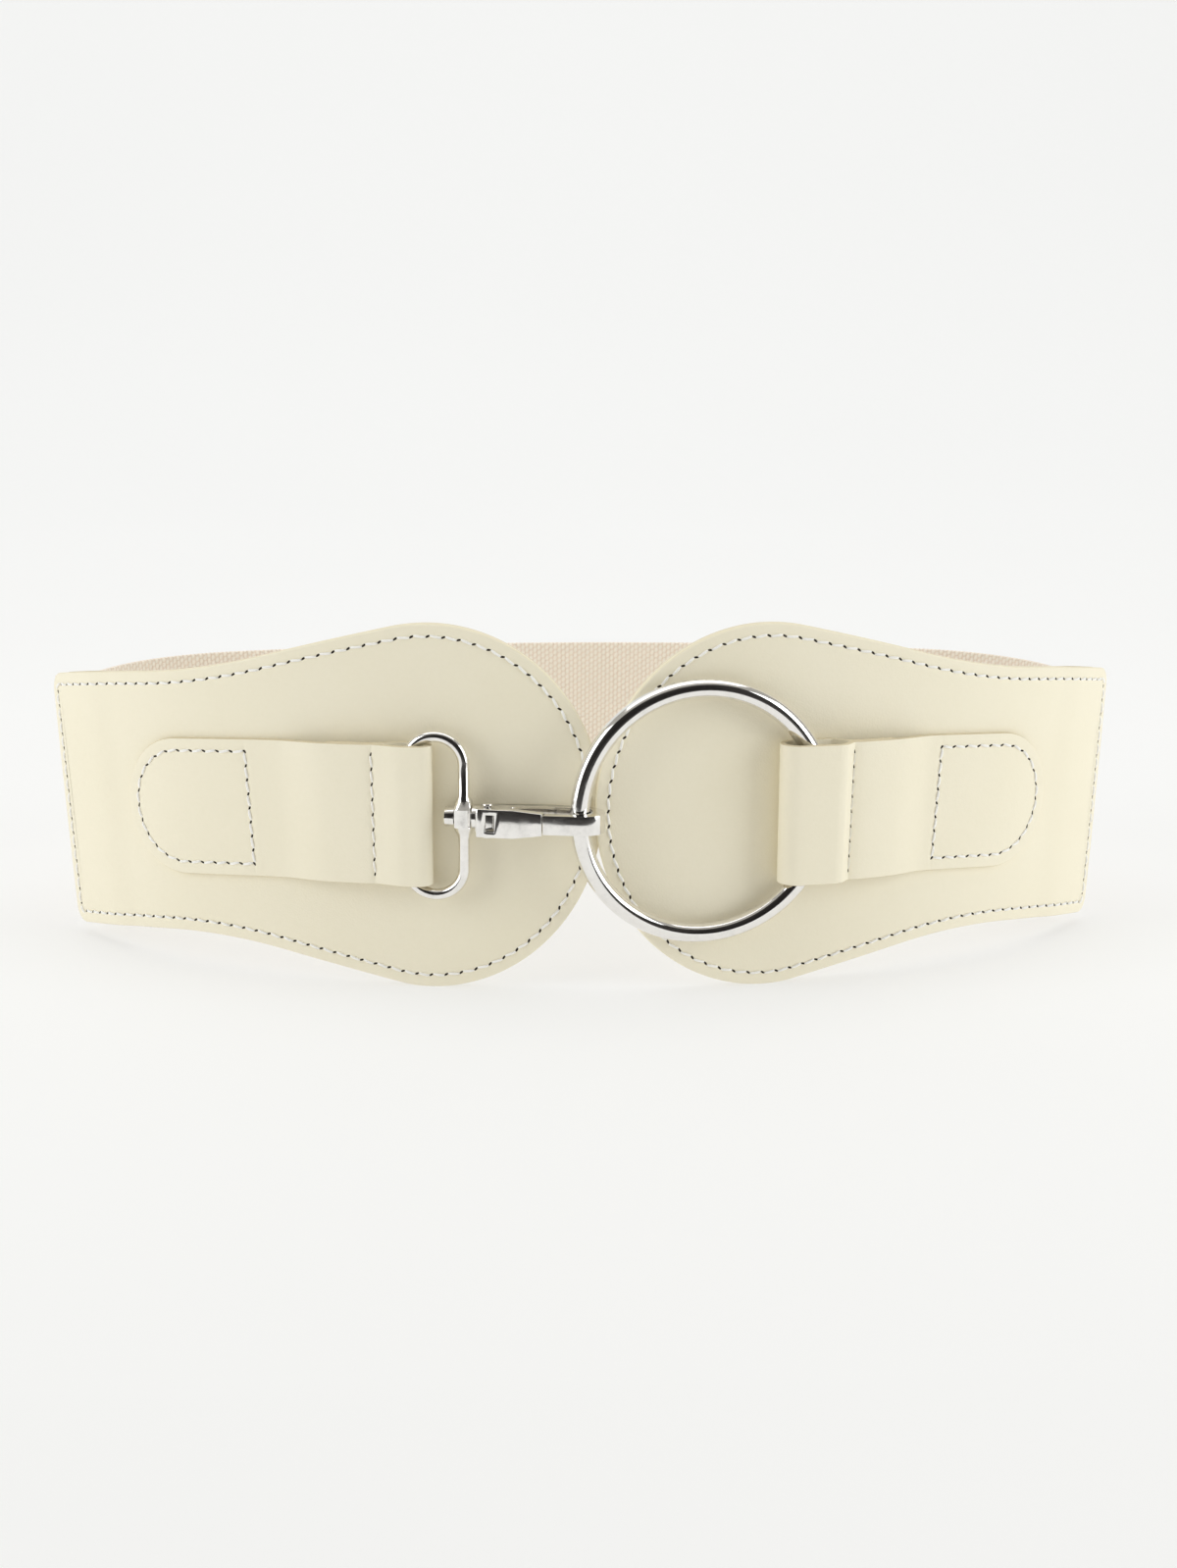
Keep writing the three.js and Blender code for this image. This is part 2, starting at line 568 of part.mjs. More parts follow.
// The gate: a front plate with a window and two flanges that clasp the base, and a solid bar up to the nose.
function hookGate() {
  const start = BASE_START + 0.3;
  const barStart = BASE_START + HOOK_BASE_LENGTH + 2 * CLEARANCE;
  const inFront = -(GATE_FRONT - GATE_BAR);
  const flangeBack = -GATE_FRONT + GATE_FLANGE_REACH;
  const tipOut = aboutPin(GATE_REACH, -GATE_FRONT);
  const tipIn = aboutPin(GATE_REACH, inFront);
  const shape = new THREE.Shape();
  shape.moveTo(start, -GATE_FRONT + 0.6);
  shape.quadraticCurveTo(start, -GATE_FRONT, start + 1.5, -GATE_FRONT);
  shape.quadraticCurveTo((start + tipOut.x) / 2, -GATE_FRONT - 0.9, tipOut.x, tipOut.y);
  shape.lineTo(tipIn.x, tipIn.y);
  shape.lineTo(barStart, inFront);
  shape.quadraticCurveTo(barStart, flangeBack, barStart - 3, flangeBack);
  shape.lineTo(start + 1.5, flangeBack);
  shape.lineTo(start, flangeBack - 1.5);
  shape.closePath();
  const profile = new THREE.Shape();
  const taperStart = barStart + 1.5;
  profile.moveTo(start - 1, -GATE_HEIGHT / 2);
  profile.lineTo(taperStart, -GATE_HEIGHT / 2);
  profile.lineTo(tipIn.x + 1, -GATE_TIP_HEIGHT / 2);
  profile.lineTo(tipIn.x + 1, GATE_TIP_HEIGHT / 2);
  profile.lineTo(taperStart, GATE_HEIGHT / 2);
  profile.lineTo(start - 1, GATE_HEIGHT / 2);
  profile.closePath();
  const side = new THREE.ExtrudeGeometry(profile, { depth: 6 * GATE_HEIGHT, bevelEnabled: false });
  side.translate(0, 0, -3 * GATE_HEIGHT);
  side.rotateX(Math.PI / 2);
  const channelDepth = GATE_FLANGE_REACH + 2;
  const channel = new THREE.BoxGeometry(barStart - start + 4, channelDepth, GATE_HEIGHT - 2 * GATE_FLANGE);
  channel.translate((barStart + start - 4) / 2, -GATE_FRONT + GATE_PLATE + channelDepth / 2, 0);
  const window = new THREE.BoxGeometry(GATE_WINDOW_LENGTH, 4 * GATE_PLATE, GATE_WINDOW_HEIGHT);
  window.translate(PIN_X + GATE_WINDOW_LENGTH / 2, -GATE_FRONT, 0);
  let gate = plate(shape, GATE_HEIGHT).intersect(toManifold(side));
  for (const cut of [toManifold(channel), toManifold(window), pinHole()]) {
    gate = gate.subtract(cut);
  }
  return fromManifold(gate);
}

function gatePin() {
  const under = GATE_HEIGHT / 2 + CLEARANCE;
  const top = under + PIN_HEAD_HEIGHT;
  const geometry = new THREE.LatheGeometry([
    new THREE.Vector2(0, -top),
    new THREE.Vector2(PIN_HEAD_DIAMETER / 2, -top),
    new THREE.Vector2(PIN_HEAD_DIAMETER / 2, -under),
    new THREE.Vector2(PIN_DIAMETER / 2, -under),
    new THREE.Vector2(PIN_DIAMETER / 2, under),
    new THREE.Vector2(PIN_HEAD_DIAMETER / 2, under),
    new THREE.Vector2(PIN_HEAD_DIAMETER / 2, top),
    new THREE.Vector2(0, top),
  ], WIRE_SIDES);
  geometry.rotateX(Math.PI / 2);
  geometry.translate(PIN_X, PIN_Y, 0);
  return welded(geometry);
}

const leather = new THREE.MeshStandardMaterial({ color: 0xe9e2c8, roughness: 0.6, metalness: 0 });
const lining = new THREE.MeshStandardMaterial({ color: 0xe6dcc0, roughness: 0.75, metalness: 0 });
const elastic = new THREE.MeshStandardMaterial({ color: 0xf0d9c4, roughness: 0.9, metalness: 0 });
const nickel = new THREE.MeshStandardMaterial({ color: 0xcfcfcf, roughness: 0.15, metalness: 1 });

function piece(name, geometry, material) {
  geometry.computeVertexNormals();
  const mesh = new THREE.Mesh(geometry, material);
  mesh.name = name;
  return mesh;
}

const standing = new THREE.Group();
standing.add(
  piece('elastic_band', elasticBand(), elastic),
  piece('left_panel_backing', panelPly(-1, false), lining),
  piece('left_panel_face', panelPly(-1, true), leather),
  piece('right_panel_backing', panelPly(1, false), lining),
  piece('right_panel_face', panelPly(1, true), leather),
  piece('left_strap', strap(-1, LEFT_FOLD), leather),
  piece('right_strap', strap(1, RIGHT_FOLD), leather),
  piece('ring', ring(), nickel),
);

const unit = new THREE.Group();
unit.position.set(unitStart.x, unitStart.y, LOOP_CENTRE_Z);
unit.rotation.z = -radians(UNIT_TILT);
unit.add(
  piece('swivel_loop', swivelLoop(), nickel),
  piece('hook_body', hookBody(), nickel),
  piece('hook_gate', hookGate(), nickel),
  piece('gate_pin', gatePin(), nickel),
);
standing.add(unit);

// The belt stands on the middle of its own outline.
const outline = new THREE.Box3().setFromObject(standing, true);
standing.position.set(0, -(outline.min.y + outline.max.y) / 2, -outline.min.z);
const belt = new THREE.Group();
belt.add(standing);

export default belt;
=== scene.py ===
# Elastic stretch waist belt, closed and standing on its lower edge.
# The looks are made here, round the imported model. Lengths are in metres.
import bisect
import math

import bmesh
import bpy
from mathutils import Matrix, Quaternion, Vector


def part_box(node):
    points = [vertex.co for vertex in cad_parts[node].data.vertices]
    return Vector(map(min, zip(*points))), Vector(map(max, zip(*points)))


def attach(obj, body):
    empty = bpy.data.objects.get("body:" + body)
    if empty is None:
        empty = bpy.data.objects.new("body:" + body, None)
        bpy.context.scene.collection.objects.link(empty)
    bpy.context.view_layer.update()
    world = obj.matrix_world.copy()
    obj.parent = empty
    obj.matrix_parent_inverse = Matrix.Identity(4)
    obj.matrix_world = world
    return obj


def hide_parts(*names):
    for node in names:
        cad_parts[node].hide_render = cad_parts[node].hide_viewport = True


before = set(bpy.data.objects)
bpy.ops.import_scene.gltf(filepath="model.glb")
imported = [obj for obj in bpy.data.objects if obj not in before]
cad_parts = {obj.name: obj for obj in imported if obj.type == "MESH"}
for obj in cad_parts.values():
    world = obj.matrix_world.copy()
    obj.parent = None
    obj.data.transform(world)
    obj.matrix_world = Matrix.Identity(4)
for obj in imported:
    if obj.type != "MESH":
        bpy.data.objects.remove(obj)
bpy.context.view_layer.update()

# Elastic band.
# A broad woven band of covered rubber and yarn, round the back from panel to panel, each end sewn between
# the two plies of a panel. It is woven flat, so it is made flat and then laid round the waist.
MM = 0.001
BELT_FRONT_Y = -70.6275 * MM
PANEL_LENGTH = 170 * MM
TIP_OVERLAP = 2 * MM
END_LEAN = 6.132 * MM
ELASTIC_WIDTH = 67 * MM
ELASTIC_THICKNESS = 1.4 * MM
ELASTIC_LAP = 14 * MM
ELASTIC_RISE = 5.352 * MM
ELASTIC_RISE_RUN = 34 * MM
TIP_LEAD = 3.3 * MM
LEAD_RUN = 100 * MM
PANEL_END_RUN = 0.382 * PANEL_LENGTH
PANEL_END_TURN = 31.5
WAIST_ARCS = (
    # From the front's middle to the rear corner: length, turn in degrees, length gained at the elastic's
    # upper edge.
    (0.294 * PANEL_LENGTH, 10.5, 0.0),
    (0.324 * PANEL_LENGTH, 18.3, 0.0),
    (PANEL_END_RUN, PANEL_END_TURN, END_LEAN),
    (6.0 * MM, 36.0, 0.0),
    (30.672 * MM + END_LEAN, 15.0, -END_LEAN),
    (48.8 * MM, 53.0, 0.0),
)
END_TURN_RATE = PANEL_END_TURN / PANEL_END_RUN


def smooth(value, start, end):
    share = min(1.0, max(0.0, (value - start) / (end - start)))
    return share * share * (3.0 - 2.0 * share)


def waist_half(level=1.0):
    """Half of the waist line, from the front's middle to the back's, as (run, x, y, heading).

    The level is -1 at the elastic's lower edge and 1 at its upper edge and on the panels, whose ends lean
    outward."""
    x = y = heading = run = 0.0
    rows = []

    def lay(length, turn, steps):
        nonlocal x, y, heading, run
        radius = length / turn
        for step in range(steps):
            part = turn * step / steps
            rows.append((
                run + length * step / steps,
                x + radius * (math.sin(heading + part) - math.sin(heading)),
                y - radius * (math.cos(heading + part) - math.cos(heading)),
                heading + part,
            ))
        x += radius * (math.sin(heading + turn) - math.sin(heading))
        y -= radius * (math.cos(heading + turn) - math.cos(heading))
        heading += turn
        run += length

    for length, degrees, lean in WAIST_ARCS:
        turn = math.radians(degrees + level * lean * END_TURN_RATE)
        lay(length + level * lean, turn, max(8, round(length / MM)))
    turn = math.pi - heading
    lay(x / math.sin(turn) * turn, turn, 160)
    rows.append((run, x, y, heading))
    return rows


def placed(name, data):
    """A new object in the scene that holds this mesh, curve, lamp or lens."""
    made = bpy.data.objects.new(name, data)
    bpy.context.scene.collection.objects.link(made)
    return made


def drawn_line(name, points):
    """A curve through the points, for a piece to be bent along."""
    curve = bpy.data.curves.new(name, "CURVE")
    curve.dimensions = "3D"
    spline = curve.splines.new("POLY")
    spline.points.add(len(points) - 1)
    for knot, point in zip(spline.points, points):
        knot.co = (point[0], point[1], point[2], 1.0)
    return placed(name, curve)


def pick(piece):
    """Selects this piece alone."""
    if bpy.context.object and bpy.context.object.mode != "OBJECT":
        bpy.ops.object.mode_set(mode="OBJECT")
    bpy.ops.object.select_all(action="DESELECT")
    piece.select_set(True)
    bpy.context.view_layer.objects.active = piece


def apply_modifier(piece, kind, **settings):
    pick(piece)
    modifier = piece.modifiers.new(kind.lower(), kind)
    for key, value in settings.items():
        setattr(modifier, key, value)
    bpy.ops.object.modifier_apply(modifier=modifier.name)


def bent_along(piece, line):
    apply_modifier(piece, "CURVE", object=line, deform_axis="POS_X")


def rounded(piece, degrees):
    pick(piece)
    bpy.ops.object.shade_smooth_by_angle(angle=math.radians(degrees))


def colour(red, green, blue):
    """A colour as a picture shows it, turned into light."""
    return tuple((value / 255 / 12.92) if value <= 10 else ((value / 255 + 0.055) / 1.055) ** 2.4
                 for value in (red, green, blue)) + (1.0,)


half_line = waist_half()
WHOLE_WAIST = 2 * half_line[-1][0]
waist_points = []
for run, x, y, heading in half_line:
    lead = 0.5 * TIP_LEAD * max(0.0, 1 - run / LEAD_RUN) ** 2
    waist_points.append((x + lead * math.sin(heading), y - lead * math.cos(heading) + BELT_FRONT_Y, 0))
for run, x, y, heading in reversed(half_line[:-1]):
    lead = -0.5 * TIP_LEAD * max(0.0, 1 - run / LEAD_RUN) ** 2
    waist_points.append((-x - lead * math.sin(heading), y - lead * math.cos(heading) + BELT_FRONT_Y, 0))
waist_line = drawn_line("waist_line", waist_points)

band_start = PANEL_LENGTH - TIP_OVERLAP / 2 - ELASTIC_LAP
band_length = WHOLE_WAIST - 2 * band_start
bpy.ops.object.select_all(action="DESELECT")
bpy.ops.mesh.primitive_grid_add(x_subdivisions=420, y_subdivisions=34, size=1, rotation=(math.pi / 2, 0, 0),
                                location=(WHOLE_WAIST / 2, 0, ELASTIC_WIDTH / 2))
elastic = bpy.context.object
elastic.name = "woven_elastic"
elastic.scale = (band_length, ELASTIC_WIDTH, 1)
bpy.ops.object.transform_apply(location=True, rotation=True, scale=True)
apply_modifier(elastic, "SOLIDIFY", thickness=ELASTIC_THICKNESS, offset=0.0)
apply_modifier(elastic, "BEVEL", width=0.45 * MM, segments=3, limit_method="ANGLE",
               angle_limit=math.radians(60))


def whole_line(level):
    """The waist line all the way round, at one level of the elastic."""
    half = waist_half(level)
    reach = half[-1][0]
    return half + [(2 * reach - run, -x, y, math.tau - heading) for run, x, y, heading in reversed(half[:-1])]


def on_line(rows, runs, run):
    place = min(max(bisect.bisect_right(runs, run), 1), len(rows) - 1)
    before, after = rows[place - 1], rows[place]
    share = (run - before[0]) / (after[0] - before[0])
    return [first + share * (second - first) for first, second in zip(before[1:], after[1:])]


LEVELS = 12
level_lines = [whole_line(2 * row / LEVELS - 1) for row in range(LEVELS + 1)]
level_runs = [[row[0] for row in rows] for rows in level_lines]
for vertex in elastic.data.vertices:
    share = (vertex.co.x - band_start) / band_length
    up = min(max(vertex.co.z / ELASTIC_WIDTH, 0.0), 1.0) * LEVELS
    below = min(int(up), LEVELS - 1)
    x = y = heading = lift = 0.0
    for row, weight in ((below, 1 - up + below), (below + 1, up - below)):
        whole = level_lines[row][-1][0]
        run = band_start + share * (whole - 2 * band_start)
        place = on_line(level_lines[row], level_runs[row], run)
        x, y, heading = x + weight * place[0], y + weight * place[1], heading + weight * place[2]
        leave = band_start + ELASTIC_LAP
        lift += weight * ELASTIC_RISE * (1 - smooth(min(run, whole - run), leave, leave + ELASTIC_RISE_RUN))
    inward = vertex.co.y
    vertex.co = (x - inward * math.sin(heading), y + inward * math.cos(heading) + BELT_FRONT_Y,
                 vertex.co.z + lift)
rounded(elastic, 50)
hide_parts("elastic_band")
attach(elastic, "belt")


def new_group(name, inputs, outputs):
    """A node group with its sockets named, and its two end nodes."""
    group = bpy.data.node_groups.new(name, "ShaderNodeTree")
    for socket, kind, value in inputs:
        made = group.interface.new_socket(name=socket, in_out="INPUT", socket_type=kind)
        if value is not None:
            made.default_value = value
    for socket, kind in outputs:
        group.interface.new_socket(name=socket, in_out="OUTPUT", socket_type=kind)
    return group, group.nodes.new("NodeGroupInput"), group.nodes.new("NodeGroupOutput")


def sum_node(tree, operation, first, second=None, clamp=False):
    """A Math node. Each value is a number or a socket."""
    node = tree.nodes.new("ShaderNodeMath")
    node.operation = operation
    node.use_clamp = clamp
    for place, value in enumerate((first, second)):
        if value is None:
            continue
        if isinstance(value, (int, float)):
            node.inputs[place].default_value = value
        else:
            tree.links.new(value, node.inputs[place])
    return node.outputs[0]


def blend_colours(tree, share, first, second):
    """A mix of two colours, each a fixed colour or a socket."""
    node = tree.nodes.new("ShaderNodeMix")
    node.data_type = "RGBA"
    if isinstance(share, (int, float)):
        node.inputs["Factor"].default_value = share
    else:
        tree.links.new(share, node.inputs["Factor"])
    for socket, value in (("A", first), ("B", second)):
        target = next(put for put in node.inputs if put.name == socket and put.type == "RGBA")
        if isinstance(value, tuple):
            target.default_value = value
        else:
            tree.links.new(value, target)
    return next(out for out in node.outputs if out.type == "RGBA")


def noise(tree, vector, scale, detail=2.0, roughness=0.5):
    node = tree.nodes.new("ShaderNodeTexNoise")
    node.inputs["Scale"].default_value = scale
    node.inputs["Detail"].default_value = detail
    node.inputs["Roughness"].default_value = roughness
    tree.links.new(vector, node.inputs["Vector"])
    return node.outputs["Fac"]


def new_finish(name):
    """An empty material: its tree, its shader and the coordinates of the object."""
    made = bpy.data.materials.new(name)
    made.use_nodes = True
    tree = made.node_tree
    shader = next(node for node in tree.nodes if node.type == "BSDF_PRINCIPLED")
    coordinates = tree.nodes.new("ShaderNodeTexCoord")
    return made, tree, shader, coordinates


def add_bump(tree, shader, height, distance):
    node = tree.nodes.new("ShaderNodeBump")
    node.inputs["Distance"].default_value = distance
    node.inputs["Strength"].default_value = 1.0
    tree.links.new(height, node.inputs["Height"])
    tree.links.new(node.outputs["Normal"], shader.inputs["Normal"])


WEAVE_COLUMN = 1.3 * MM
WEAVE_ROW = 1.75 * MM


def weave_group():
    """Columns of small upright loops, each half a loop off the next, from runs along and up the cloth."""
    group, start, end = new_group(
        "woven_loops",
        (("Along", "NodeSocketFloat", None), ("Up", "NodeSocketFloat", None),
         ("Column", "NodeSocketFloat", WEAVE_COLUMN), ("Row", "NodeSocketFloat", WEAVE_ROW)),
        (("Height", "NodeSocketFloat"), ("Gap", "NodeSocketFloat")),
    )
    along = sum_node(group, "DIVIDE", start.outputs["Along"], start.outputs["Column"])
    column = sum_node(group, "FLOOR", along)
    odd = sum_node(group, "FRACT", sum_node(group, "MULTIPLY", column, 0.5))
    up = sum_node(group, "ADD", sum_node(group, "DIVIDE", start.outputs["Up"], start.outputs["Row"]), odd)
    across = sum_node(group, "SUBTRACT", sum_node(group, "FRACT", along), 0.5)
    level = sum_node(group, "SUBTRACT", sum_node(group, "FRACT", up), 0.5)
    lean = sum_node(group, "MULTIPLY", level, 0.22)
    across = sum_node(group, "ADD", across, lean)
    wide = sum_node(group, "POWER", sum_node(group, "ABSOLUTE", sum_node(group, "DIVIDE", across, 0.47)), 2.4)
    tall = sum_node(group, "POWER", sum_node(group, "ABSOLUTE", sum_node(group, "DIVIDE", level, 0.52)), 2.4)
    loop = sum_node(group, "SUBTRACT", 1.0, sum_node(group, "ADD", wide, tall), clamp=True)
    height = sum_node(group, "POWER", loop, 0.5)
    group.links.new(height, end.inputs["Height"])
    group.links.new(sum_node(group, "SUBTRACT", 1.0, height, clamp=True), end.inputs["Gap"])
    return group


woven_loops = weave_group()
elastic_finish, tree, shader, coordinates = new_finish("woven_elastic_finish")
spread = tree.nodes.new("ShaderNodeSeparateXYZ")
tree.links.new(coordinates.outputs["UV"], spread.inputs[0])
along = sum_node(tree, "MULTIPLY", spread.outputs["X"], band_length)
up = sum_node(tree, "MULTIPLY", spread.outputs["Y"], ELASTIC_WIDTH)
loops = tree.nodes.new("ShaderNodeGroup")
loops.node_tree = woven_loops
loops.inputs["Column"].default_value = WEAVE_COLUMN
loops.inputs["Row"].default_value = WEAVE_ROW
tree.links.new(along, loops.inputs["Along"])
tree.links.new(up, loops.inputs["Up"])
fuzz = noise(tree, coordinates.outputs["Object"], 2600, 3, 0.6)
patch = noise(tree, coordinates.outputs["Object"], 60, 2)
yarn = blend_colours(tree, fuzz, colour(255, 241, 222), colour(255, 252, 244))
gap = sum_node(tree, "MULTIPLY", loops.outputs["Gap"], 0.42)
shade = blend_colours(tree, gap, yarn, colour(236, 204, 176))
toned = blend_colours(tree, sum_node(tree, "MULTIPLY", patch, 0.12), shade, colour(250, 232, 210))
tree.links.new(toned, shader.inputs["Base Color"])
shader.inputs["Roughness"].default_value = 0.88
shader.inputs["Sheen Weight"].default_value = 0.35
shader.inputs["Sheen Roughness"].default_value = 0.5
relief = sum_node(tree, "ADD", loops.outputs["Height"], sum_node(tree, "MULTIPLY", fuzz, 0.35))
add_bump(tree, shader, relief, 0.22 * MM)


def finished_in(piece, *finishes):
    """Gives the piece these materials and no others."""
    piece.data.materials.clear()
    for finish in finishes:
        piece.data.materials.append(finish)


finished_in(elastic, elastic_finish)

# Panel backings.
# The lining leather behind each front panel, cut to the same pattern as the face and sewn to it all round,
# with the end of the elastic between the two.
MIDDLE_HEIGHT = 48.5 * MM
BULGE_REACH = 45 * MM
END_HEIGHT = 71 * MM
END_CORNER = 5 * MM
SHOULDER_ANGLE = math.radians(13)
SHOULDER_RADIUS = 170 * MM
BOW_RADIUS = 720 * MM
BACKING_PLY = 1.2 * MM
FACE_PLY = 1.5 * MM
PLY_SEAM = 0.15 * MM
PARTING_START = 12 * MM
PARTING_END = 1 * MM
SEAM_INSET = 3.25 * MM
STITCH_PITCH = 4.0 * MM


def panel_half_height(along):
    half = MIDDLE_HEIGHT
    slope = math.tan(SHOULDER_ANGLE)
    past = along - BULGE_REACH

    def bulge(run):
        return half * math.sqrt(max(0.0, 1 - (run / BULGE_REACH) ** 2))

    leave = BULGE_REACH ** 2 * slope / math.hypot(half, BULGE_REACH * slope)
    hollow_drop = SHOULDER_RADIUS * (1 - math.cos(SHOULDER_ANGLE))
    straight = (bulge(leave) - END_HEIGHT / 2 - hollow_drop) / slope
    hollow_end = leave + straight + SHOULDER_RADIUS * math.sin(SHOULDER_ANGLE)
    height = END_HEIGHT / 2
    if past <= leave:
        height = bulge(past)
    elif past <= leave + straight:
        height = bulge(leave) - (past - leave) * slope
    elif past <= hollow_end:
        left = hollow_end - past
        height += SHOULDER_RADIUS - math.sqrt(SHOULDER_RADIUS ** 2 - left ** 2)
    to_end = PANEL_LENGTH - along
    if to_end < END_CORNER:
        into = END_CORNER - to_end
        height -= END_CORNER - math.sqrt(max(0.0, END_CORNER ** 2 - into ** 2))
    return height


def panel_outline():
    """The cutting pattern: from the tip, over the top, down the outer end and back below."""
    stations = [BULGE_REACH * (1 - math.cos(math.radians(angle))) for angle in range(2, 90, 2)]
    steps = 84
    for step in range(steps):
        stations.append(BULGE_REACH + (PANEL_LENGTH - END_CORNER - BULGE_REACH) * step / steps)
    corner = [math.sin(math.radians(angle)) for angle in range(0, 91, 10)]
    stations += [PANEL_LENGTH - END_CORNER * (1 - reach) for reach in corner]
    top = [(along, panel_half_height(along)) for along in stations]
    end_rows = 40
    end = [(PANEL_LENGTH, top[-1][1] * (1 - 2 * row / end_rows)) for row in range(1, end_rows)]
    return [(0.0, 0.0)] + top + end + [(along, -height) for along, height in reversed(top)]


def cut_from_pattern(name, outline):
    """A flat face in the shape of the outline, which lies in the plane of X and Z."""
    bpy.ops.object.select_all(action="DESELECT")
    bpy.ops.mesh.primitive_circle_add(vertices=len(outline), radius=1, fill_type="NGON")
    piece = bpy.context.object
    piece.name = name
    for vertex, (x, z) in zip(piece.data.vertices, outline):
        vertex.co = (x, 0, z)
    return piece


def given_thickness(piece, low, high):
    """Gives the flat face a thickness between two depths."""
    for vertex in piece.data.vertices:
        vertex.co.y = low
    pick(piece)
    bpy.ops.object.mode_set(mode="EDIT")
    bpy.ops.mesh.select_all(action="SELECT")
    bpy.ops.mesh.extrude_region_move(TRANSFORM_OT_translate={"value": (0, high - low, 0)})
    bpy.ops.mesh.select_all(action="SELECT")
    bpy.ops.mesh.normals_make_consistent(inside=False)
    bpy.ops.object.mode_set(mode="OBJECT")


def choose(piece, mode, test):
    """Selects the faces or edges that pass the test."""
    pick(piece)
    bpy.ops.object.mode_set(mode="EDIT")
    bpy.ops.mesh.select_mode(type=mode)
    bpy.ops.mesh.select_all(action="DESELECT")
    shape = bmesh.from_edit_mesh(piece.data)
    rows = shape.faces if mode == "FACE" else shape.edges
    for row in rows:
        row.select_set(test(row))
    shape.select_flush_mode()
    bmesh.update_edit_mesh(piece.data)


def round_rim(piece, depth, width, segments=3):
    choose(piece, "EDGE", lambda edge: all(abs(v.co.y - depth) < 1e-6 for v in edge.verts))
    bpy.ops.mesh.bevel(offset=width, offset_type="OFFSET", segments=segments, profile=0.5, affect="EDGES",
                       clamp_overlap=False)
    bpy.ops.object.mode_set(mode="OBJECT")


def press_channel(piece, outward, rows):
    """Insets the broad face again and again. Each row is a width and how far the leather sinks there."""
    choose(piece, "FACE", lambda face: face.normal.y * outward > 0.9 and len(face.verts) > 60)
    for width, sink in rows:
        bpy.ops.mesh.inset(thickness=width, depth=-sink, use_even_offset=True)
    bpy.ops.object.mode_set(mode="OBJECT")


def cut_strips(piece, places, axis=(1, 0, 0)):
    """Cuts the piece across at each place, so that it can bend there."""
    pick(piece)
    bpy.ops.object.mode_set(mode="EDIT")
    for place in places:
        bpy.ops.mesh.select_all(action="SELECT")
        bpy.ops.mesh.bisect(plane_co=tuple(place * part for part in axis), plane_no=axis, threshold=2e-6)
    bpy.ops.object.mode_set(mode="OBJECT")


def parted_at_lap(piece, outward):
    """Near the outer end the two plies part and lie on the elastic."""
    lap_start = PANEL_LENGTH - ELASTIC_LAP - END_LEAN
    for vertex in piece.data.vertices:
        parted = smooth(vertex.co.x, lap_start - PARTING_START, lap_start - PARTING_END)
        vertex.co.y += outward * parted * (ELASTIC_THICKNESS / 2 + PLY_SEAM)


def laid_on_body(piece, side):
    """Bends a flat piece down along the panel's bow, turns it over for the left, lays it round the waist."""
    bent_along(piece, bow_line)
    if side < 0:
        piece.data.transform(Matrix.Scale(-1, 4, (1, 0, 0)))
        piece.data.transform(Matrix.Translation((WHOLE_WAIST, 0, 0)))
        piece.data.flip_normals()
    bent_along(piece, waist_line)


BOW_STEPS = 131
bow_points = [(step * MM - TIP_OVERLAP / 2, 0, MIDDLE_HEIGHT) for step in range(round(BULGE_REACH / MM))]
for step in range(BOW_STEPS):
    bow = step * MM / BOW_RADIUS
    bow_points.append((BULGE_REACH - TIP_OVERLAP / 2 + BOW_RADIUS * math.sin(bow), 0,
                       MIDDLE_HEIGHT - BOW_RADIUS * (1 - math.cos(bow))))
bow_line = drawn_line("bow_line", bow_points)

outline = panel_outline()
strips = [step * 2 * MM for step in range(1, 85)]
backings = []
for side, name in ((-1, "left"), (1, "right")):
    backing = cut_from_pattern(f"{name}_lining_leather", outline)
    given_thickness(backing, 0.02 * MM, PLY_SEAM + BACKING_PLY)
    round_rim(backing, PLY_SEAM + BACKING_PLY, 0.4 * MM)
    press_channel(backing, 1, ((2.4 * MM, 0), (0.4 * MM, 0.08 * MM), (0.4 * MM, -0.08 * MM), (0.5 * MM, 0)))
    cut_strips(backing, strips)
    parted_at_lap(backing, 1)
    laid_on_body(backing, side)
    rounded(backing, 40)
    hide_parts(f"{name}_panel_backing")
    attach(backing, "belt")
    backings.append(backing)


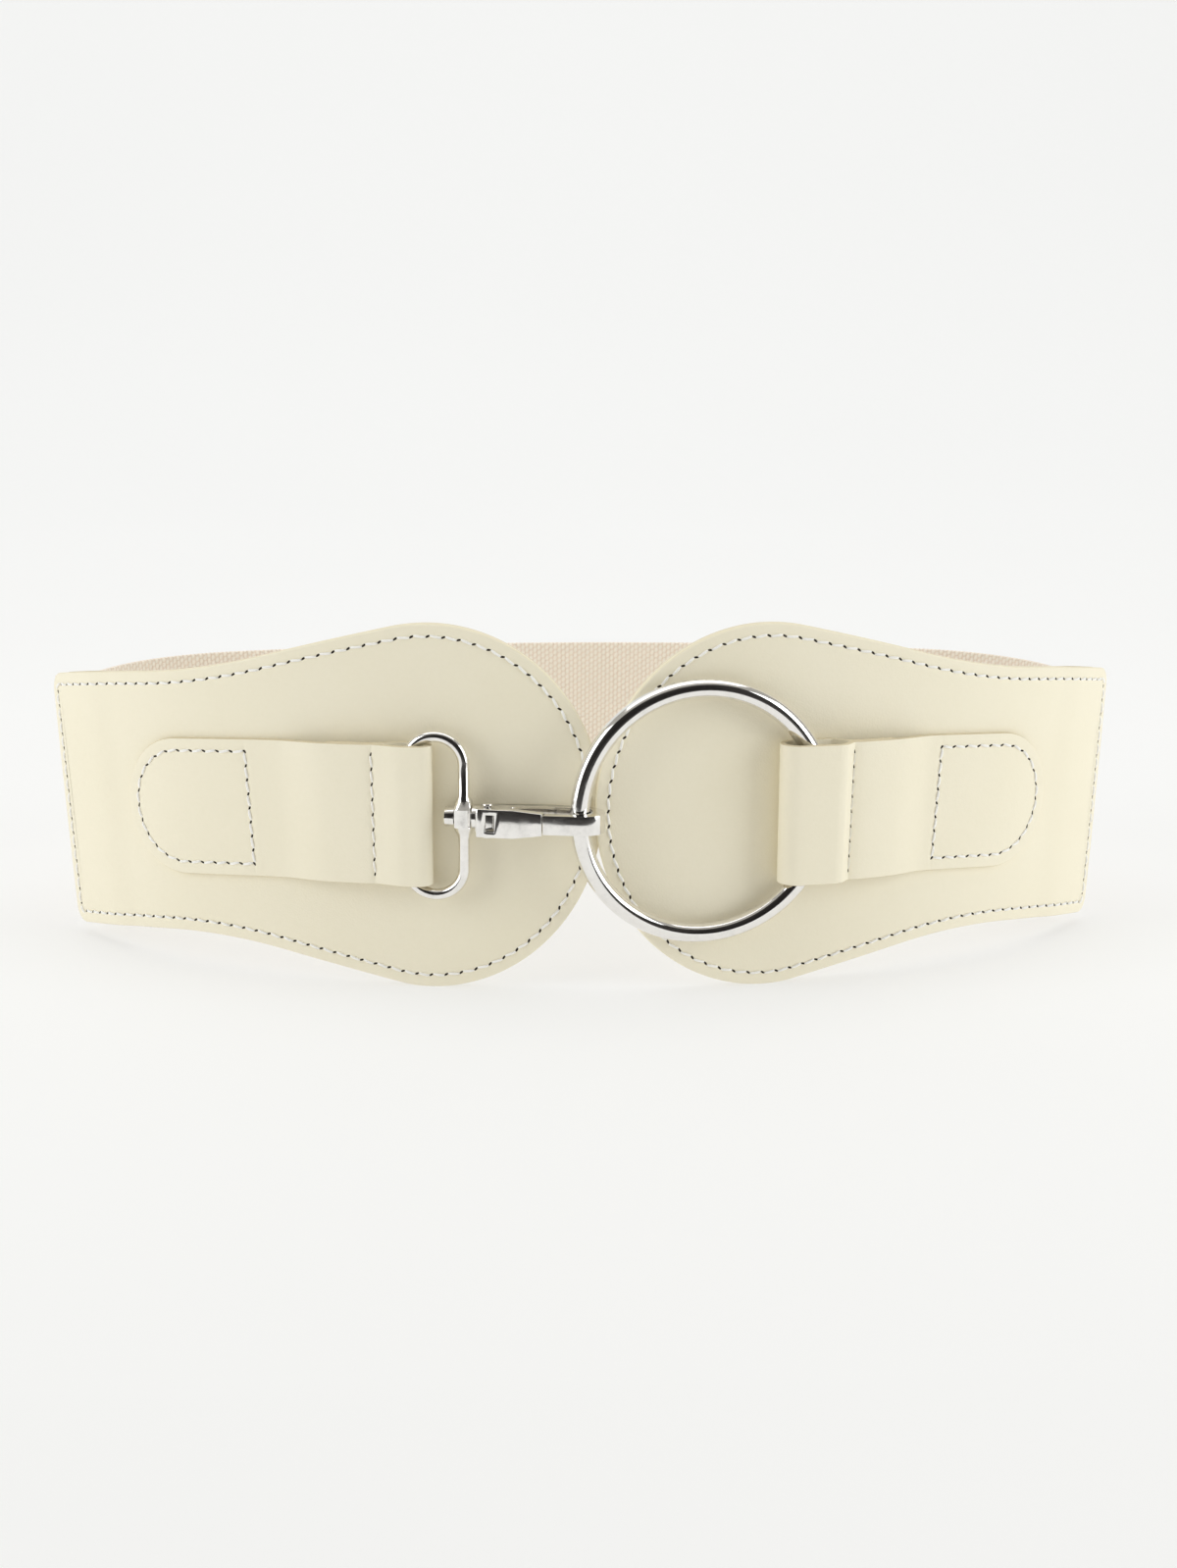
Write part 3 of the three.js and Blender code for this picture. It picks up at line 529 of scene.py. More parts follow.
def grain_group():
    """The skin of smooth leather: fine pebbles, broad uneven tone and a few pores."""
    group, start, end = new_group(
        "leather_skin",
        (("Vector", "NodeSocketVector", None), ("Pebble Scale", "NodeSocketFloat", 1900.0),
         ("Pores", "NodeSocketFloat", 1.0)),
        (("Height", "NodeSocketFloat"), ("Tone", "NodeSocketFloat"), ("Pore", "NodeSocketFloat")),
    )
    vector = start.outputs["Vector"]
    pebble = group.nodes.new("ShaderNodeTexVoronoi")
    pebble.feature = "SMOOTH_F1"
    pebble.inputs["Smoothness"].default_value = 0.6
    group.links.new(vector, pebble.inputs["Vector"])
    group.links.new(start.outputs["Pebble Scale"], pebble.inputs["Scale"])
    fine = noise(group, vector, 5200, 2, 0.6)
    soft = noise(group, vector, 420, 3, 0.55)
    height = sum_node(group, "ADD", sum_node(group, "MULTIPLY", pebble.outputs["Distance"], 0.55),
                      sum_node(group, "MULTIPLY", fine, 0.35))
    height = sum_node(group, "ADD", height, sum_node(group, "MULTIPLY", soft, 0.9))
    cell = group.nodes.new("ShaderNodeTexVoronoi")
    cell.inputs["Scale"].default_value = 75
    group.links.new(vector, cell.inputs["Vector"])
    near = sum_node(group, "LESS_THAN", cell.outputs["Distance"], 0.022)
    split = group.nodes.new("ShaderNodeSeparateXYZ")
    group.links.new(cell.outputs["Color"], split.inputs[0])
    some = sum_node(group, "GREATER_THAN", split.outputs["X"], 0.55)
    pore = sum_node(group, "MULTIPLY", sum_node(group, "MULTIPLY", near, some), start.outputs["Pores"])
    tone = sum_node(group, "ADD", sum_node(group, "MULTIPLY", noise(group, vector, 26, 3), 0.7),
                    sum_node(group, "MULTIPLY", noise(group, vector, 900, 3), 0.3))
    group.links.new(height, end.inputs["Height"])
    group.links.new(tone, end.inputs["Tone"])
    group.links.new(pore, end.inputs["Pore"])
    return group


leather_skin = grain_group()


def leather_finish(name, pale, deep, pores, roughness, relief):
    made, tree, shader, coordinates = new_finish(name)
    skin = tree.nodes.new("ShaderNodeGroup")
    skin.node_tree = leather_skin
    skin.inputs["Pores"].default_value = pores
    tree.links.new(coordinates.outputs["Object"], skin.inputs["Vector"])
    body = blend_colours(tree, skin.outputs["Tone"], deep, pale)
    pore = sum_node(tree, "MULTIPLY", skin.outputs["Pore"], 0.55)
    pored = blend_colours(tree, pore, body, colour(120, 96, 70))
    tree.links.new(pored, shader.inputs["Base Color"])
    rough = sum_node(tree, "ADD", roughness - 0.06, sum_node(tree, "MULTIPLY", skin.outputs["Tone"], 0.12))
    tree.links.new(rough, shader.inputs["Roughness"])
    shader.inputs["Specular IOR Level"].default_value = 0.35
    pit = sum_node(tree, "MULTIPLY", skin.outputs["Pore"], 1.5)
    height = sum_node(tree, "SUBTRACT", skin.outputs["Height"], pit)
    add_bump(tree, shader, height, relief)
    return made


lining_finish = leather_finish("lining_leather_finish", colour(233, 224, 200), colour(222, 212, 184),
                               0.3, 0.72, 0.06 * MM)
for backing in backings:
    finished_in(backing, lining_finish)

# Panel faces.
# Smooth cream leather, cut to the same pattern, with its edge painted and rubbed round. The seam
# presses a shallow channel all the way round, a few millimetres in.
face_finish = leather_finish("face_leather_finish", colour(250, 243, 222), colour(243, 235, 209),
                             1.0, 0.52, 0.06 * MM)
edge_finish = leather_finish("painted_edge_finish", colour(244, 235, 208), colour(233, 222, 190),
                             0.0, 0.42, 0.03 * MM)


def paint_edges(piece):
    """The cut edge takes the second material: the faces that don't lie in the plane of the piece."""
    for face in piece.data.polygons:
        face.material_index = 0 if abs(face.normal.y) > 0.75 else 1


for side, name in ((-1, "left"), (1, "right")):
    face = cut_from_pattern(f"{name}_face_leather", outline)
    given_thickness(face, -0.02 * MM, -PLY_SEAM - FACE_PLY)
    round_rim(face, -PLY_SEAM - FACE_PLY, 0.6 * MM, 4)
    press_channel(face, -1, (
        (1.75 * MM, 0), (0.45 * MM, 0.07 * MM), (0.45 * MM, 0.16 * MM),
        (0.45 * MM, -0.16 * MM), (0.45 * MM, -0.07 * MM), (1.2 * MM, 0)))
    cut_strips(face, strips)
    finished_in(face, face_finish, edge_finish)
    paint_edges(face)
    parted_at_lap(face, -1)
    laid_on_body(face, side)
    rounded(face, 40)
    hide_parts(f"{name}_panel_face")
    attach(face, "belt")

# Seams of the panels.
# Thick pale thread in a locked stitch, four millimetres to a stitch. Each stitch slants a little, lies on the
# leather and dives into slanted needle holes, and the same row shows on the lining.
THREAD_RADIUS = 0.37 * MM
THREAD_LIFT = 0.15 * MM
STITCH_LENGTH = 3.1 * MM
NEEDLE_HOLE_SIZE = (0.95 * MM, 0.14 * MM, 0.33 * MM)
LINING_CHANNEL = 0.06 * MM
STITCH_SLANT = math.radians(9)
HOLE_SLANT = math.radians(-38)


def make_stitch():
    """One stitch along X at the origin, arched over the leather, which faces -Y."""
    bpy.ops.object.select_all(action="DESELECT")
    bpy.ops.mesh.primitive_cylinder_add(vertices=8, radius=THREAD_RADIUS, depth=STITCH_LENGTH,
                                        end_fill_type="TRIFAN", rotation=(0, math.pi / 2, 0))
    stitch = bpy.context.object
    bpy.ops.object.transform_apply(rotation=True)
    cut_strips(stitch, [STITCH_LENGTH * share for share in (-0.44, -0.36, -0.2, 0, 0.2, 0.36, 0.44)])
    for vertex in stitch.data.vertices:
        share = abs(vertex.co.x) / (STITCH_LENGTH / 2)
        thin = 1 - 0.45 * share ** 4
        vertex.co.y = vertex.co.y * thin - 0.14 * MM + 0.42 * MM * share ** 3
        vertex.co.z *= thin
    return stitch


def make_needle_hole():
    """One needle slit along X at the origin: a small dark piece whose colour is the painted shade inside the
    hole.
    """
    bpy.ops.object.select_all(action="DESELECT")
    bpy.ops.mesh.primitive_uv_sphere_add(segments=10, ring_count=6, radius=1)
    hole = bpy.context.object
    hole.scale = NEEDLE_HOLE_SIZE
    bpy.ops.object.transform_apply(scale=True)
    return hole


def seam_places(path, pitch, closed):
    """Even places along a path of (x, z) points: the stitches' middles with their headings, and the holes."""
    points = list(path) + ([path[0]] if closed else [])
    runs = [0.0]
    for before, after in zip(points, points[1:]):
        runs.append(runs[-1] + math.dist(before, after))
    count = max(1, round(runs[-1] / pitch))
    step = runs[-1] / count

    def at(run):
        run = min(max(run, 0.0), runs[-1])
        place = next((row for row in range(1, len(runs)) if runs[row] >= run), len(runs) - 1)
        share = (run - runs[place - 1]) / max(1e-12, runs[place] - runs[place - 1])
        before, after = points[place - 1], points[place]
        return (before[0] + share * (after[0] - before[0]), before[1] + share * (after[1] - before[1]))

    stitches, holes = [], []
    for row in range(count):
        start, middle, end = at(row * step), at((row + 0.5) * step), at((row + 1) * step)
        heading = math.atan2(end[1] - start[1], end[0] - start[0])
        stitches.append((middle, heading))
        holes.append((start, heading))
    if not closed:
        holes.append((points[-1], heading))
    return stitches, holes


def sewn(name, pattern, places, depth, slant, outward=-1):
    """Copies one stitch or hole to every place of a seam."""
    shape = bmesh.new()
    for (x, z), heading in places:
        known = len(shape.verts)
        shape.from_mesh(pattern.data)
        shape.verts.ensure_lookup_table()
        turn = Matrix.Rotation(-(heading + slant), 4, "Y")
        if outward > 0:
            turn = turn @ Matrix.Rotation(math.pi, 4, "X")
        move = Matrix.Translation((x, depth, z)) @ turn
        bmesh.ops.transform(shape, matrix=move, verts=shape.verts[known:])
    mesh = bpy.data.meshes.new(name)
    shape.to_mesh(mesh)
    shape.free()
    return placed(name, mesh)


def inside_path(points, inset):
    """The outline moved inward."""
    moved = []
    for row, point in enumerate(points):
        before, after = points[row - 1], points[(row + 1) % len(points)]
        run = math.dist(before, after)
        normal = ((after[1] - before[1]) / run, -(after[0] - before[0]) / run)
        moved.append((point[0] + inset * normal[0], point[1] + inset * normal[1]))
    return moved


thread_finish, tree, shader, coordinates = new_finish("sewing_thread_finish")
twist = noise(tree, coordinates.outputs["Object"], 3600, 2)
thread_tone = blend_colours(tree, twist, colour(252, 249, 240), colour(255, 255, 254))
tree.links.new(thread_tone, shader.inputs["Base Color"])
shader.inputs["Roughness"].default_value = 0.55
add_bump(tree, shader, twist, 0.12 * MM)
# The needle holes are small dark pieces: their colour is painted shade, the shadow inside each hole.
hole_shade_finish, tree, shader, coordinates = new_finish("needle_hole_shade")
mark = noise(tree, coordinates.outputs["Object"], 2400, 2)
hole_shade_tone = blend_colours(tree, mark, colour(24, 19, 15), colour(52, 43, 34))
tree.links.new(hole_shade_tone, shader.inputs["Base Color"])
shader.inputs["Roughness"].default_value = 0.9

stitch = make_stitch()
needle_hole = make_needle_hole()
seam_path = inside_path(outline, SEAM_INSET)
stitch_places, hole_places = seam_places(seam_path, STITCH_PITCH, True)
FACE_DEPTH = PLY_SEAM + FACE_PLY
CHANNEL = 0.2 * MM
for side, name in ((-1, "left"), (1, "right")):
    for pattern, places, slant, kind, finish, lift in (
            (stitch, stitch_places, STITCH_SLANT, "seam_thread", thread_finish, THREAD_LIFT),
            (needle_hole, hole_places, HOLE_SLANT, "seam_hole_shades", hole_shade_finish, 0.0)):
        for ply, outward, depth in (("face", -1, -FACE_DEPTH + CHANNEL - lift),
                                    ("lining", 1, PLY_SEAM + BACKING_PLY - LINING_CHANNEL + lift)):
            row = sewn(f"{name}_{ply}_{kind}", pattern, places, depth, slant, outward)
            parted_at_lap(row, outward)
            laid_on_body(row, side)
            rounded(row, 60)
            row.data.materials.append(finish)
            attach(row, "belt")

# Ring.
# A round ring of polished, nickel-plated wire, held in the fold of the right strap and caught in the hook.
RING_RADIUS = 32.5 * MM
RING_WIRE_RADIUS = 2.5 * MM
RING_YAW = 0.13876
low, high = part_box("ring")
bpy.ops.object.select_all(action="DESELECT")
bpy.ops.mesh.primitive_torus_add(major_segments=168, minor_segments=36, major_radius=RING_RADIUS,
                                 minor_radius=RING_WIRE_RADIUS, rotation=(math.pi / 2, 0, RING_YAW),
                                 location=(low + high) / 2)
ring = bpy.context.object
ring.name = "polished_ring"
bpy.ops.object.transform_apply(location=True, rotation=True, scale=True)
rounded(ring, 60)
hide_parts("ring")
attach(ring, "belt")


def plating_group():
    """Plated metal: a slight waviness left by polishing, and dull rub marks."""
    group, start, end = new_group(
        "plated_metal",
        (("Vector", "NodeSocketVector", None), ("Marks", "NodeSocketFloat", 1.0)),
        (("Height", "NodeSocketFloat"), ("Wear", "NodeSocketFloat")),
    )
    vector = start.outputs["Vector"]
    wave = noise(group, vector, 130, 2)
    fine = noise(group, vector, 2100, 3, 0.7)
    height = sum_node(group, "ADD", wave, sum_node(group, "MULTIPLY", fine, 0.1))
    rub = sum_node(group, "MULTIPLY", sum_node(group, "POWER", noise(group, vector, 320, 4, 0.65), 3.0),
                   start.outputs["Marks"])
    group.links.new(height, end.inputs["Height"])
    group.links.new(rub, end.inputs["Wear"])
    return group


plated_metal = plating_group()


def nickel_finish(name, marks, roughness, relief, tint):
    made, tree, shader, coordinates = new_finish(name)
    skin = tree.nodes.new("ShaderNodeGroup")
    skin.node_tree = plated_metal
    skin.inputs["Marks"].default_value = marks
    tree.links.new(coordinates.outputs["Object"], skin.inputs["Vector"])
    shader.inputs["Metallic"].default_value = 1.0
    plate = blend_colours(tree, skin.outputs["Wear"], tint, colour(190, 186, 180))
    tree.links.new(plate, shader.inputs["Base Color"])
    rough = sum_node(tree, "ADD", roughness, sum_node(tree, "MULTIPLY", skin.outputs["Wear"], 0.5))
    tree.links.new(rough, shader.inputs["Roughness"])
    add_bump(tree, shader, skin.outputs["Height"], relief)
    return made


ring_finish = nickel_finish("ring_nickel_finish", 0.6, 0.05, 0.03 * MM, colour(243, 241, 238))
finished_in(ring, ring_finish)

# Swivel loop.
# A wire bent to a long oval and cast with a barrel-shaped boss on the bar nearest the hook. The boss is
# bored for the hook's shank. The other bar lies in the fold of the left strap.
UNIT_TILT = math.radians(9.9)
UNIT_START = Vector((-49.8525 * MM, BELT_FRONT_Y - 0.7166 * MM, 47.5 * MM))
LOOP_RADIUS = 7.5 * MM
LOOP_STRAIGHT_HALF = 13.5 * MM
LOOP_WIRE_RADIUS = 1.5 * MM
BOSS_HALF = 5.7 * MM
BOSS_RADIUS = 3.5 * MM
BOSS_THICKNESS = 4.2 * MM
BOSS_EDGE = 0.5 * MM
BORE_RADIUS = 1.9 * MM
unit_place = Matrix.Translation(UNIT_START) @ Matrix.Rotation(-UNIT_TILT, 4, "Z")

bpy.ops.object.select_all(action="DESELECT")
bpy.ops.mesh.primitive_torus_add(major_segments=64, minor_segments=20, major_radius=LOOP_RADIUS,
                                 minor_radius=LOOP_WIRE_RADIUS, rotation=(math.pi / 2, 0, 0),
                                 location=(LOOP_RADIUS, 0, 0))
swivel_loop = bpy.context.object
swivel_loop.name = "cast_swivel_loop"
bpy.ops.object.transform_apply(location=True, rotation=True, scale=True)
for way in (1, -1):
    pick(swivel_loop)
    bpy.ops.object.mode_set(mode="EDIT")
    bpy.ops.mesh.select_mode(type="VERT")
    bpy.ops.mesh.select_all(action="DESELECT")
    shape = bmesh.from_edit_mesh(swivel_loop.data)
    for vertex in shape.verts:
        vertex.select_set(vertex.co.z * way > 1e-5)
    shape.select_flush(True)
    bmesh.update_edit_mesh(swivel_loop.data)
    bpy.ops.transform.translate(value=(0, 0, way * LOOP_STRAIGHT_HALF))
    bpy.ops.object.mode_set(mode="OBJECT")

bpy.ops.object.select_all(action="DESELECT")
bpy.ops.mesh.primitive_cylinder_add(vertices=40, radius=BOSS_RADIUS, depth=2 * BOSS_HALF)
boss = bpy.context.object
cut_strips(boss, [BOSS_HALF * share for share in (-0.75, -0.42, 0.42, 0.75)], axis=(0, 0, 1))
for vertex in boss.data.vertices:
    level = abs(vertex.co.z) / BOSS_HALF
    swell = 1.0 if level < 0.43 else 1 - 0.6 * smooth(level, 0.4, 1.0)
    vertex.co.x *= swell
    vertex.co.y *= swell
pick(boss)
bpy.ops.object.mode_set(mode="EDIT")
for way in (1, -1):
    bpy.ops.mesh.select_all(action="SELECT")
    bpy.ops.mesh.bisect(plane_co=(way * BOSS_THICKNESS / 2, 0, 0), plane_no=(way, 0, 0), clear_outer=True,
                        use_fill=True, threshold=2e-6)
bpy.ops.object.mode_set(mode="OBJECT")
apply_modifier(boss, "BEVEL", width=BOSS_EDGE, segments=3, limit_method="ANGLE", angle_limit=math.radians(35))
boss.data.transform(Matrix.Translation((2 * LOOP_RADIUS, 0, 0)))
bpy.ops.object.select_all(action="DESELECT")
bpy.ops.mesh.primitive_cylinder_add(vertices=32, radius=BORE_RADIUS, depth=12 * MM,
                                    rotation=(0, math.pi / 2, 0), location=(2 * LOOP_RADIUS, 0, 0))
bore = bpy.context.object
bpy.ops.object.transform_apply(location=True, rotation=True, scale=True)
apply_modifier(swivel_loop, "BOOLEAN", operation="UNION", object=boss, solver="EXACT")
apply_modifier(swivel_loop, "BOOLEAN", operation="DIFFERENCE", object=bore, solver="EXACT")
bpy.data.objects.remove(boss)
bpy.data.objects.remove(bore)
swivel_loop.data.transform(unit_place)
rounded(swivel_loop, 32)
small_finish = nickel_finish("hook_nickel_finish", 0.8, 0.06, 0.045 * MM, colour(244, 242, 239))
finished_in(swivel_loop, small_finish)
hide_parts("swivel_loop")
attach(swivel_loop, "belt")

# Snap hook.
# A cast shank, base and back bar that bends round to the nose, a pressed gate hinged on the base, and
# the riveted pin they turn on. All three are plated and tumbled, so every edge is soft.


def tumbled(node, name, edge):
    """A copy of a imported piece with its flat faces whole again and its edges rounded."""
    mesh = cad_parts[node].data.copy()
    mesh.name = name
    piece = placed(name, mesh)
    pick(piece)
    bpy.ops.mesh.customdata_custom_splitnormals_clear()
    bpy.ops.object.mode_set(mode="EDIT")
    bpy.ops.mesh.select_all(action="SELECT")
    bpy.ops.mesh.remove_doubles(threshold=2e-6)
    bpy.ops.mesh.dissolve_limited(angle_limit=math.radians(1.5))
    bpy.ops.mesh.select_all(action="SELECT")
    bpy.ops.mesh.normals_make_consistent(inside=False)
    bpy.ops.object.mode_set(mode="OBJECT")
    apply_modifier(piece, "BEVEL", width=edge, segments=3, limit_method="ANGLE", angle_limit=math.radians(38))
    rounded(piece, 42)
    finished_in(piece, small_finish)
    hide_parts(node)
    return piece


hook = tumbled("hook_body", "cast_hook", 0.3 * MM)
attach(hook, "belt")
gate = tumbled("hook_gate", "pressed_gate", 0.22 * MM)
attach(gate, "gate")
pin = tumbled("gate_pin", "riveted_pin", 0.14 * MM)
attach(pin, "belt")

# Straps.
# A strip of the same leather on each panel, with one round end sewn down in a box of stitches. It rises over
# its own under layer and folds round the metal. One row of stitches behind the metal joins the two layers.
STRAP_HALF = 18.6 * MM
STRAP_PLY = 1.4 * MM
STRAP_END_REACH = 134 * MM
STRAP_DROP = 0.8 * MM
STRAP_LIFT_END = 92 * MM
STRAP_SEAM_INSET = 3.4 * MM
BOX_ROW_REACH = 94 * MM
STRAP_GAP = 0.3 * MM
STRAP_STEP = (0.6 * MM, 14 * MM)
SEWN_DOWN_RUN = (8 * MM, 22 * MM)
STRAP_CHANNEL = 0.22 * MM
STRAP_CHANNEL_WIDTH = 0.4 * MM
BROAD_CUT = 1.5 * MM
FINE_CUT = 0.4 * MM
FINE_CUT_RUN = 26 * MM
BOX_PITCH = 4.1 * MM
BOX_ROW_PITCH = 3.8 * MM
FOLD_ROW_HALF = 16 * MM


def strap_course(fold):
    """The strap's middle from above, as (along, outward) points from the sewn end to the under end."""
    base = FACE_DEPTH + STRAP_GAP + STRAP_PLY / 2
    doubled = base + STRAP_PLY + STRAP_GAP
    high = base + fold["opening"] + STRAP_PLY
    bend = (high - base) / 2
    turn_at = fold["reach"] + STRAP_PLY / 2 + bend
    under_end = fold["reach"] + fold["under"]
    row = fold["reach"] + fold["row"]
    lifted = (fold["opening"] - STRAP_GAP) / 2
    points = []
    steps = 300

    def lift(along):
        if along < row:
            return lifted * smooth(along, row - fold["closing"], row)
        return lifted * (1 - smooth(along, row, STRAP_LIFT_END))

    for step in range(steps):
        along = STRAP_END_REACH + (turn_at - STRAP_END_REACH) * step / steps
        up = 1 - smooth(along, under_end + STRAP_STEP[0], under_end + STRAP_STEP[1])
        rise = 1 - smooth(along, row - fold["closing"], row)
        settled = smooth(along, under_end + SEWN_DOWN_RUN[0], under_end + SEWN_DOWN_RUN[1])
        sewn_down = (STRAP_GAP - 0.03 * MM) * settled
        pinch = 0.2 * MM * math.exp(-((along - row) / (1.1 * MM)) ** 2)
        depth = base - sewn_down - pinch + (doubled - base) * up + lift(along) + (high - doubled) * rise
        points.append((along, depth))
    for step in range(40):
        turn = math.pi * step / 40
        points.append((turn_at - bend * math.sin(turn), (high + base) / 2 + bend * math.cos(turn)))
    for step in range(101):
        along = turn_at + (under_end - turn_at) * step / 100
        points.append((along, base + lift(along)))
    return points


def strap_outline(length):
    """The strap cut flat, from its round end at X 0 to its square under end."""
    turned = [(STRAP_HALF * (1 - math.cos(math.radians(a))), STRAP_HALF * math.sin(math.radians(a)))
              for a in range(3, 90, 3)]
    side_steps = 60
    side_run = length - STRAP_HALF
    straight = [(STRAP_HALF + side_run * step / side_steps, STRAP_HALF) for step in range(side_steps + 1)]
    top = turned + straight
    end = [(length, STRAP_HALF * (1 - 2 * row / 16)) for row in range(1, 16)]
    return [(0.0, 0.0)] + top + end + [(x, -z) for x, z in reversed(top)]


# The strap's edge is darker than its face: partly the edge's own colour, partly painted shade for the thin
# shadow line round the strap's rim.
strap_edge_and_shade_finish = leather_finish("strap_edge_and_shade_finish", colour(226, 214, 184), colour(208, 194, 160),
                                   0.0, 0.5, 0.03 * MM)
folds = {
    "left": {"reach": 43.5 * MM, "under": 27 * MM, "row": 15 * MM,
             "opening": 4.6 * MM, "closing": 8.5 * MM},
    "right": {"reach": 46.9325 * MM, "under": 31 * MM, "row": 19 * MM,
              "opening": 6.8 * MM, "closing": 4.5 * MM},
}
for side, name in ((-1, "left"), (1, "right")):
    fold = folds[name]
    course = strap_course(fold)
    fold_line = drawn_line(f"{name}_fold_line", [(along, -depth, 0) for along, depth in course])
    runs = [0.0]
    for before, after in zip(course, course[1:]):
        runs.append(runs[-1] + math.dist(before, after))
    strap_length = runs[-1]

    def run_to(reach):
        """How far along the flat strap a place over the panel lies."""
        return next(run for run, (along, depth) in zip(runs, course) if along <= reach)

    box_row = run_to(BOX_ROW_REACH)
    fold_row = run_to(fold["reach"] + fold["row"])
    strap = cut_from_pattern(f"{name}_strap_leather", strap_outline(strap_length))
    given_thickness(strap, -STRAP_PLY / 2, STRAP_PLY / 2)
    round_rim(strap, STRAP_PLY / 2, 0.35 * MM)
    round_rim(strap, -STRAP_PLY / 2, 0.25 * MM, 2)
    press_channel(strap, 1, ((2.5 * MM, 0), (0.5 * MM, 0), (0.45 * MM, 0), (0.45 * MM, 0)))
    press_channel(strap, -1, ((3.0 * MM, 0),))
    cuts = [step * BROAD_CUT for step in range(1, int(strap_length / BROAD_CUT))]
    fine_start = run_to(fold["reach"] + 12 * MM)
    fine = [fine_start + step * FINE_CUT for step in range(int(FINE_CUT_RUN / FINE_CUT))]
    rows = [place + move for place in (box_row, fold_row) for move in (-0.5 * MM, 0, 0.5 * MM)]
    cut_strips(strap, sorted(cuts + fine + rows))
    finished_in(strap, face_finish, strap_edge_and_shade_finish)
    paint_edges(strap)
    for vertex in strap.data.vertices:
        if vertex.co.y < 0.3 * STRAP_PLY:
            continue
        x, z = vertex.co.x, vertex.co.z
        inset = STRAP_HALF - (math.hypot(x - STRAP_HALF, z) if x < STRAP_HALF else abs(z))
        sink = 0.0
        if x < box_row + 0.2 * MM:
            sink = STRAP_CHANNEL * math.exp(-((inset - STRAP_SEAM_INSET) / STRAP_CHANNEL_WIDTH) ** 2)
        for place in (box_row, fold_row):
            if inset > STRAP_SEAM_INSET - 0.7 * MM:
                sink = max(sink, STRAP_CHANNEL * math.exp(-((x - place) / STRAP_CHANNEL_WIDTH) ** 2))
        vertex.co.y -= sink
    inner = STRAP_HALF - STRAP_SEAM_INSET
    angles = [math.radians(degrees) for degrees in range(0, 181, 4)]
    arc = [(STRAP_HALF - inner * math.sin(angle), inner * math.cos(angle)) for angle in angles]
    box_path = [(box_row, inner)] + arc + [(box_row, -inner)]
    box_stitches, box_holes = seam_places(box_path, BOX_PITCH, False)
    row_stitches, row_holes = seam_places([(box_row, -inner), (box_row, inner)], BOX_ROW_PITCH, False)
    fold_path = [(fold_row, -FOLD_ROW_HALF), (fold_row, FOLD_ROW_HALF)]
    fold_stitches, fold_holes = seam_places(fold_path, STITCH_PITCH, False)
    threads = box_stitches + row_stitches + fold_stitches
    slits = box_holes + row_holes[1:-1] + fold_holes
    made = [strap]
    # The slits are small dark pieces: painted shade inside the needle holes.
    for pattern, places, slant, kind, finish, lift in (
            (stitch, threads, STITCH_SLANT, "strap_thread", thread_finish, THREAD_LIFT),
            (needle_hole, slits, HOLE_SLANT, "strap_hole_shades", hole_shade_finish, 0.0)):
        row = sewn(f"{name}_{kind}", pattern, places, STRAP_PLY / 2 - CHANNEL + lift, slant, 1)
        row.data.materials.append(finish)
        made.append(row)
    for piece in made:
        bent_along(piece, fold_line)
        for vertex in piece.data.vertices:
            vertex.co.z -= STRAP_DROP
        laid_on_body(piece, side)
        rounded(piece, 42)
        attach(piece, "belt")
    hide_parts(f"{name}_strap")
    bpy.data.objects.remove(fold_line)

for helper in (waist_line, bow_line, stitch, needle_hole):
    bpy.data.objects.remove(helper)

# Table and daylight studio.
# A seamless pale sheet that curves up behind, a wide soft light on each side and one above. A dark wall and a
# dark floor on the camera's side are there for the plating to mirror, and the camera doesn't see them.
SHEET_CURVE_START = 1.0
SHEET_CURVE_RADIUS = 0.6
bpy.ops.object.select_all(action="DESELECT")
bpy.ops.mesh.primitive_grid_add(x_subdivisions=2, y_subdivisions=60, size=1, location=(0, 0.4, 0))
sheet = bpy.context.object
sheet.name = "pale_sheet"
sheet.scale = (6, 5, 1)
bpy.ops.object.transform_apply(location=True, rotation=True, scale=True)
for vertex in sheet.data.vertices:
    past = vertex.co.y - SHEET_CURVE_START
    if past > 0:
        turn = min(past / SHEET_CURVE_RADIUS, math.pi / 2)
        rest = max(0.0, past - SHEET_CURVE_RADIUS * math.pi / 2)
        vertex.co.y = SHEET_CURVE_START + SHEET_CURVE_RADIUS * math.sin(turn)
        vertex.co.z = SHEET_CURVE_RADIUS * (1 - math.cos(turn)) + rest * 2
rounded(sheet, 60)
sheet_finish, tree, shader, coordinates = new_finish("pale_sheet_finish")
mottle = noise(tree, coordinates.outputs["Object"], 3, 2)
sheet_tone = blend_colours(tree, mottle, colour(168, 168, 167), colour(172, 172, 171))
tree.links.new(sheet_tone, shader.inputs["Base Color"])
depth_split = tree.nodes.new("ShaderNodeSeparateXYZ")
tree.links.new(coordinates.outputs["Object"], depth_split.inputs[0])
# The sheet glows by itself, dimmer in front and brighter towards the back: painted light on the sheet.
away = sum_node(tree, "DIVIDE", sum_node(tree, "ADD", depth_split.outputs["Y"], 0.3), 1.6, clamp=True)
glow = blend_colours(tree, away, colour(218, 218, 217), colour(236, 237, 237))
tree.links.new(glow, shader.inputs["Emission Color"])
shader.inputs["Emission Strength"].default_value = 0.74
shader.inputs["Roughness"].default_value = 0.9
shader.inputs["Specular IOR Level"].default_value = 0.1
sheet.data.materials.append(sheet_finish)


def soft_light(name, place, aim, width, height, power, tint=(1.0, 1.0, 1.0)):
    lamp = bpy.data.lights.new(name, "AREA")
    lamp.shape = "RECTANGLE"
    lamp.size = width
    lamp.size_y = height
    lamp.energy = power
    lamp.color = tint
    light = placed(name, lamp)
    light.location = place
    light.rotation_euler = (Vector(aim) - Vector(place)).to_track_quat("-Z", "Y").to_euler()


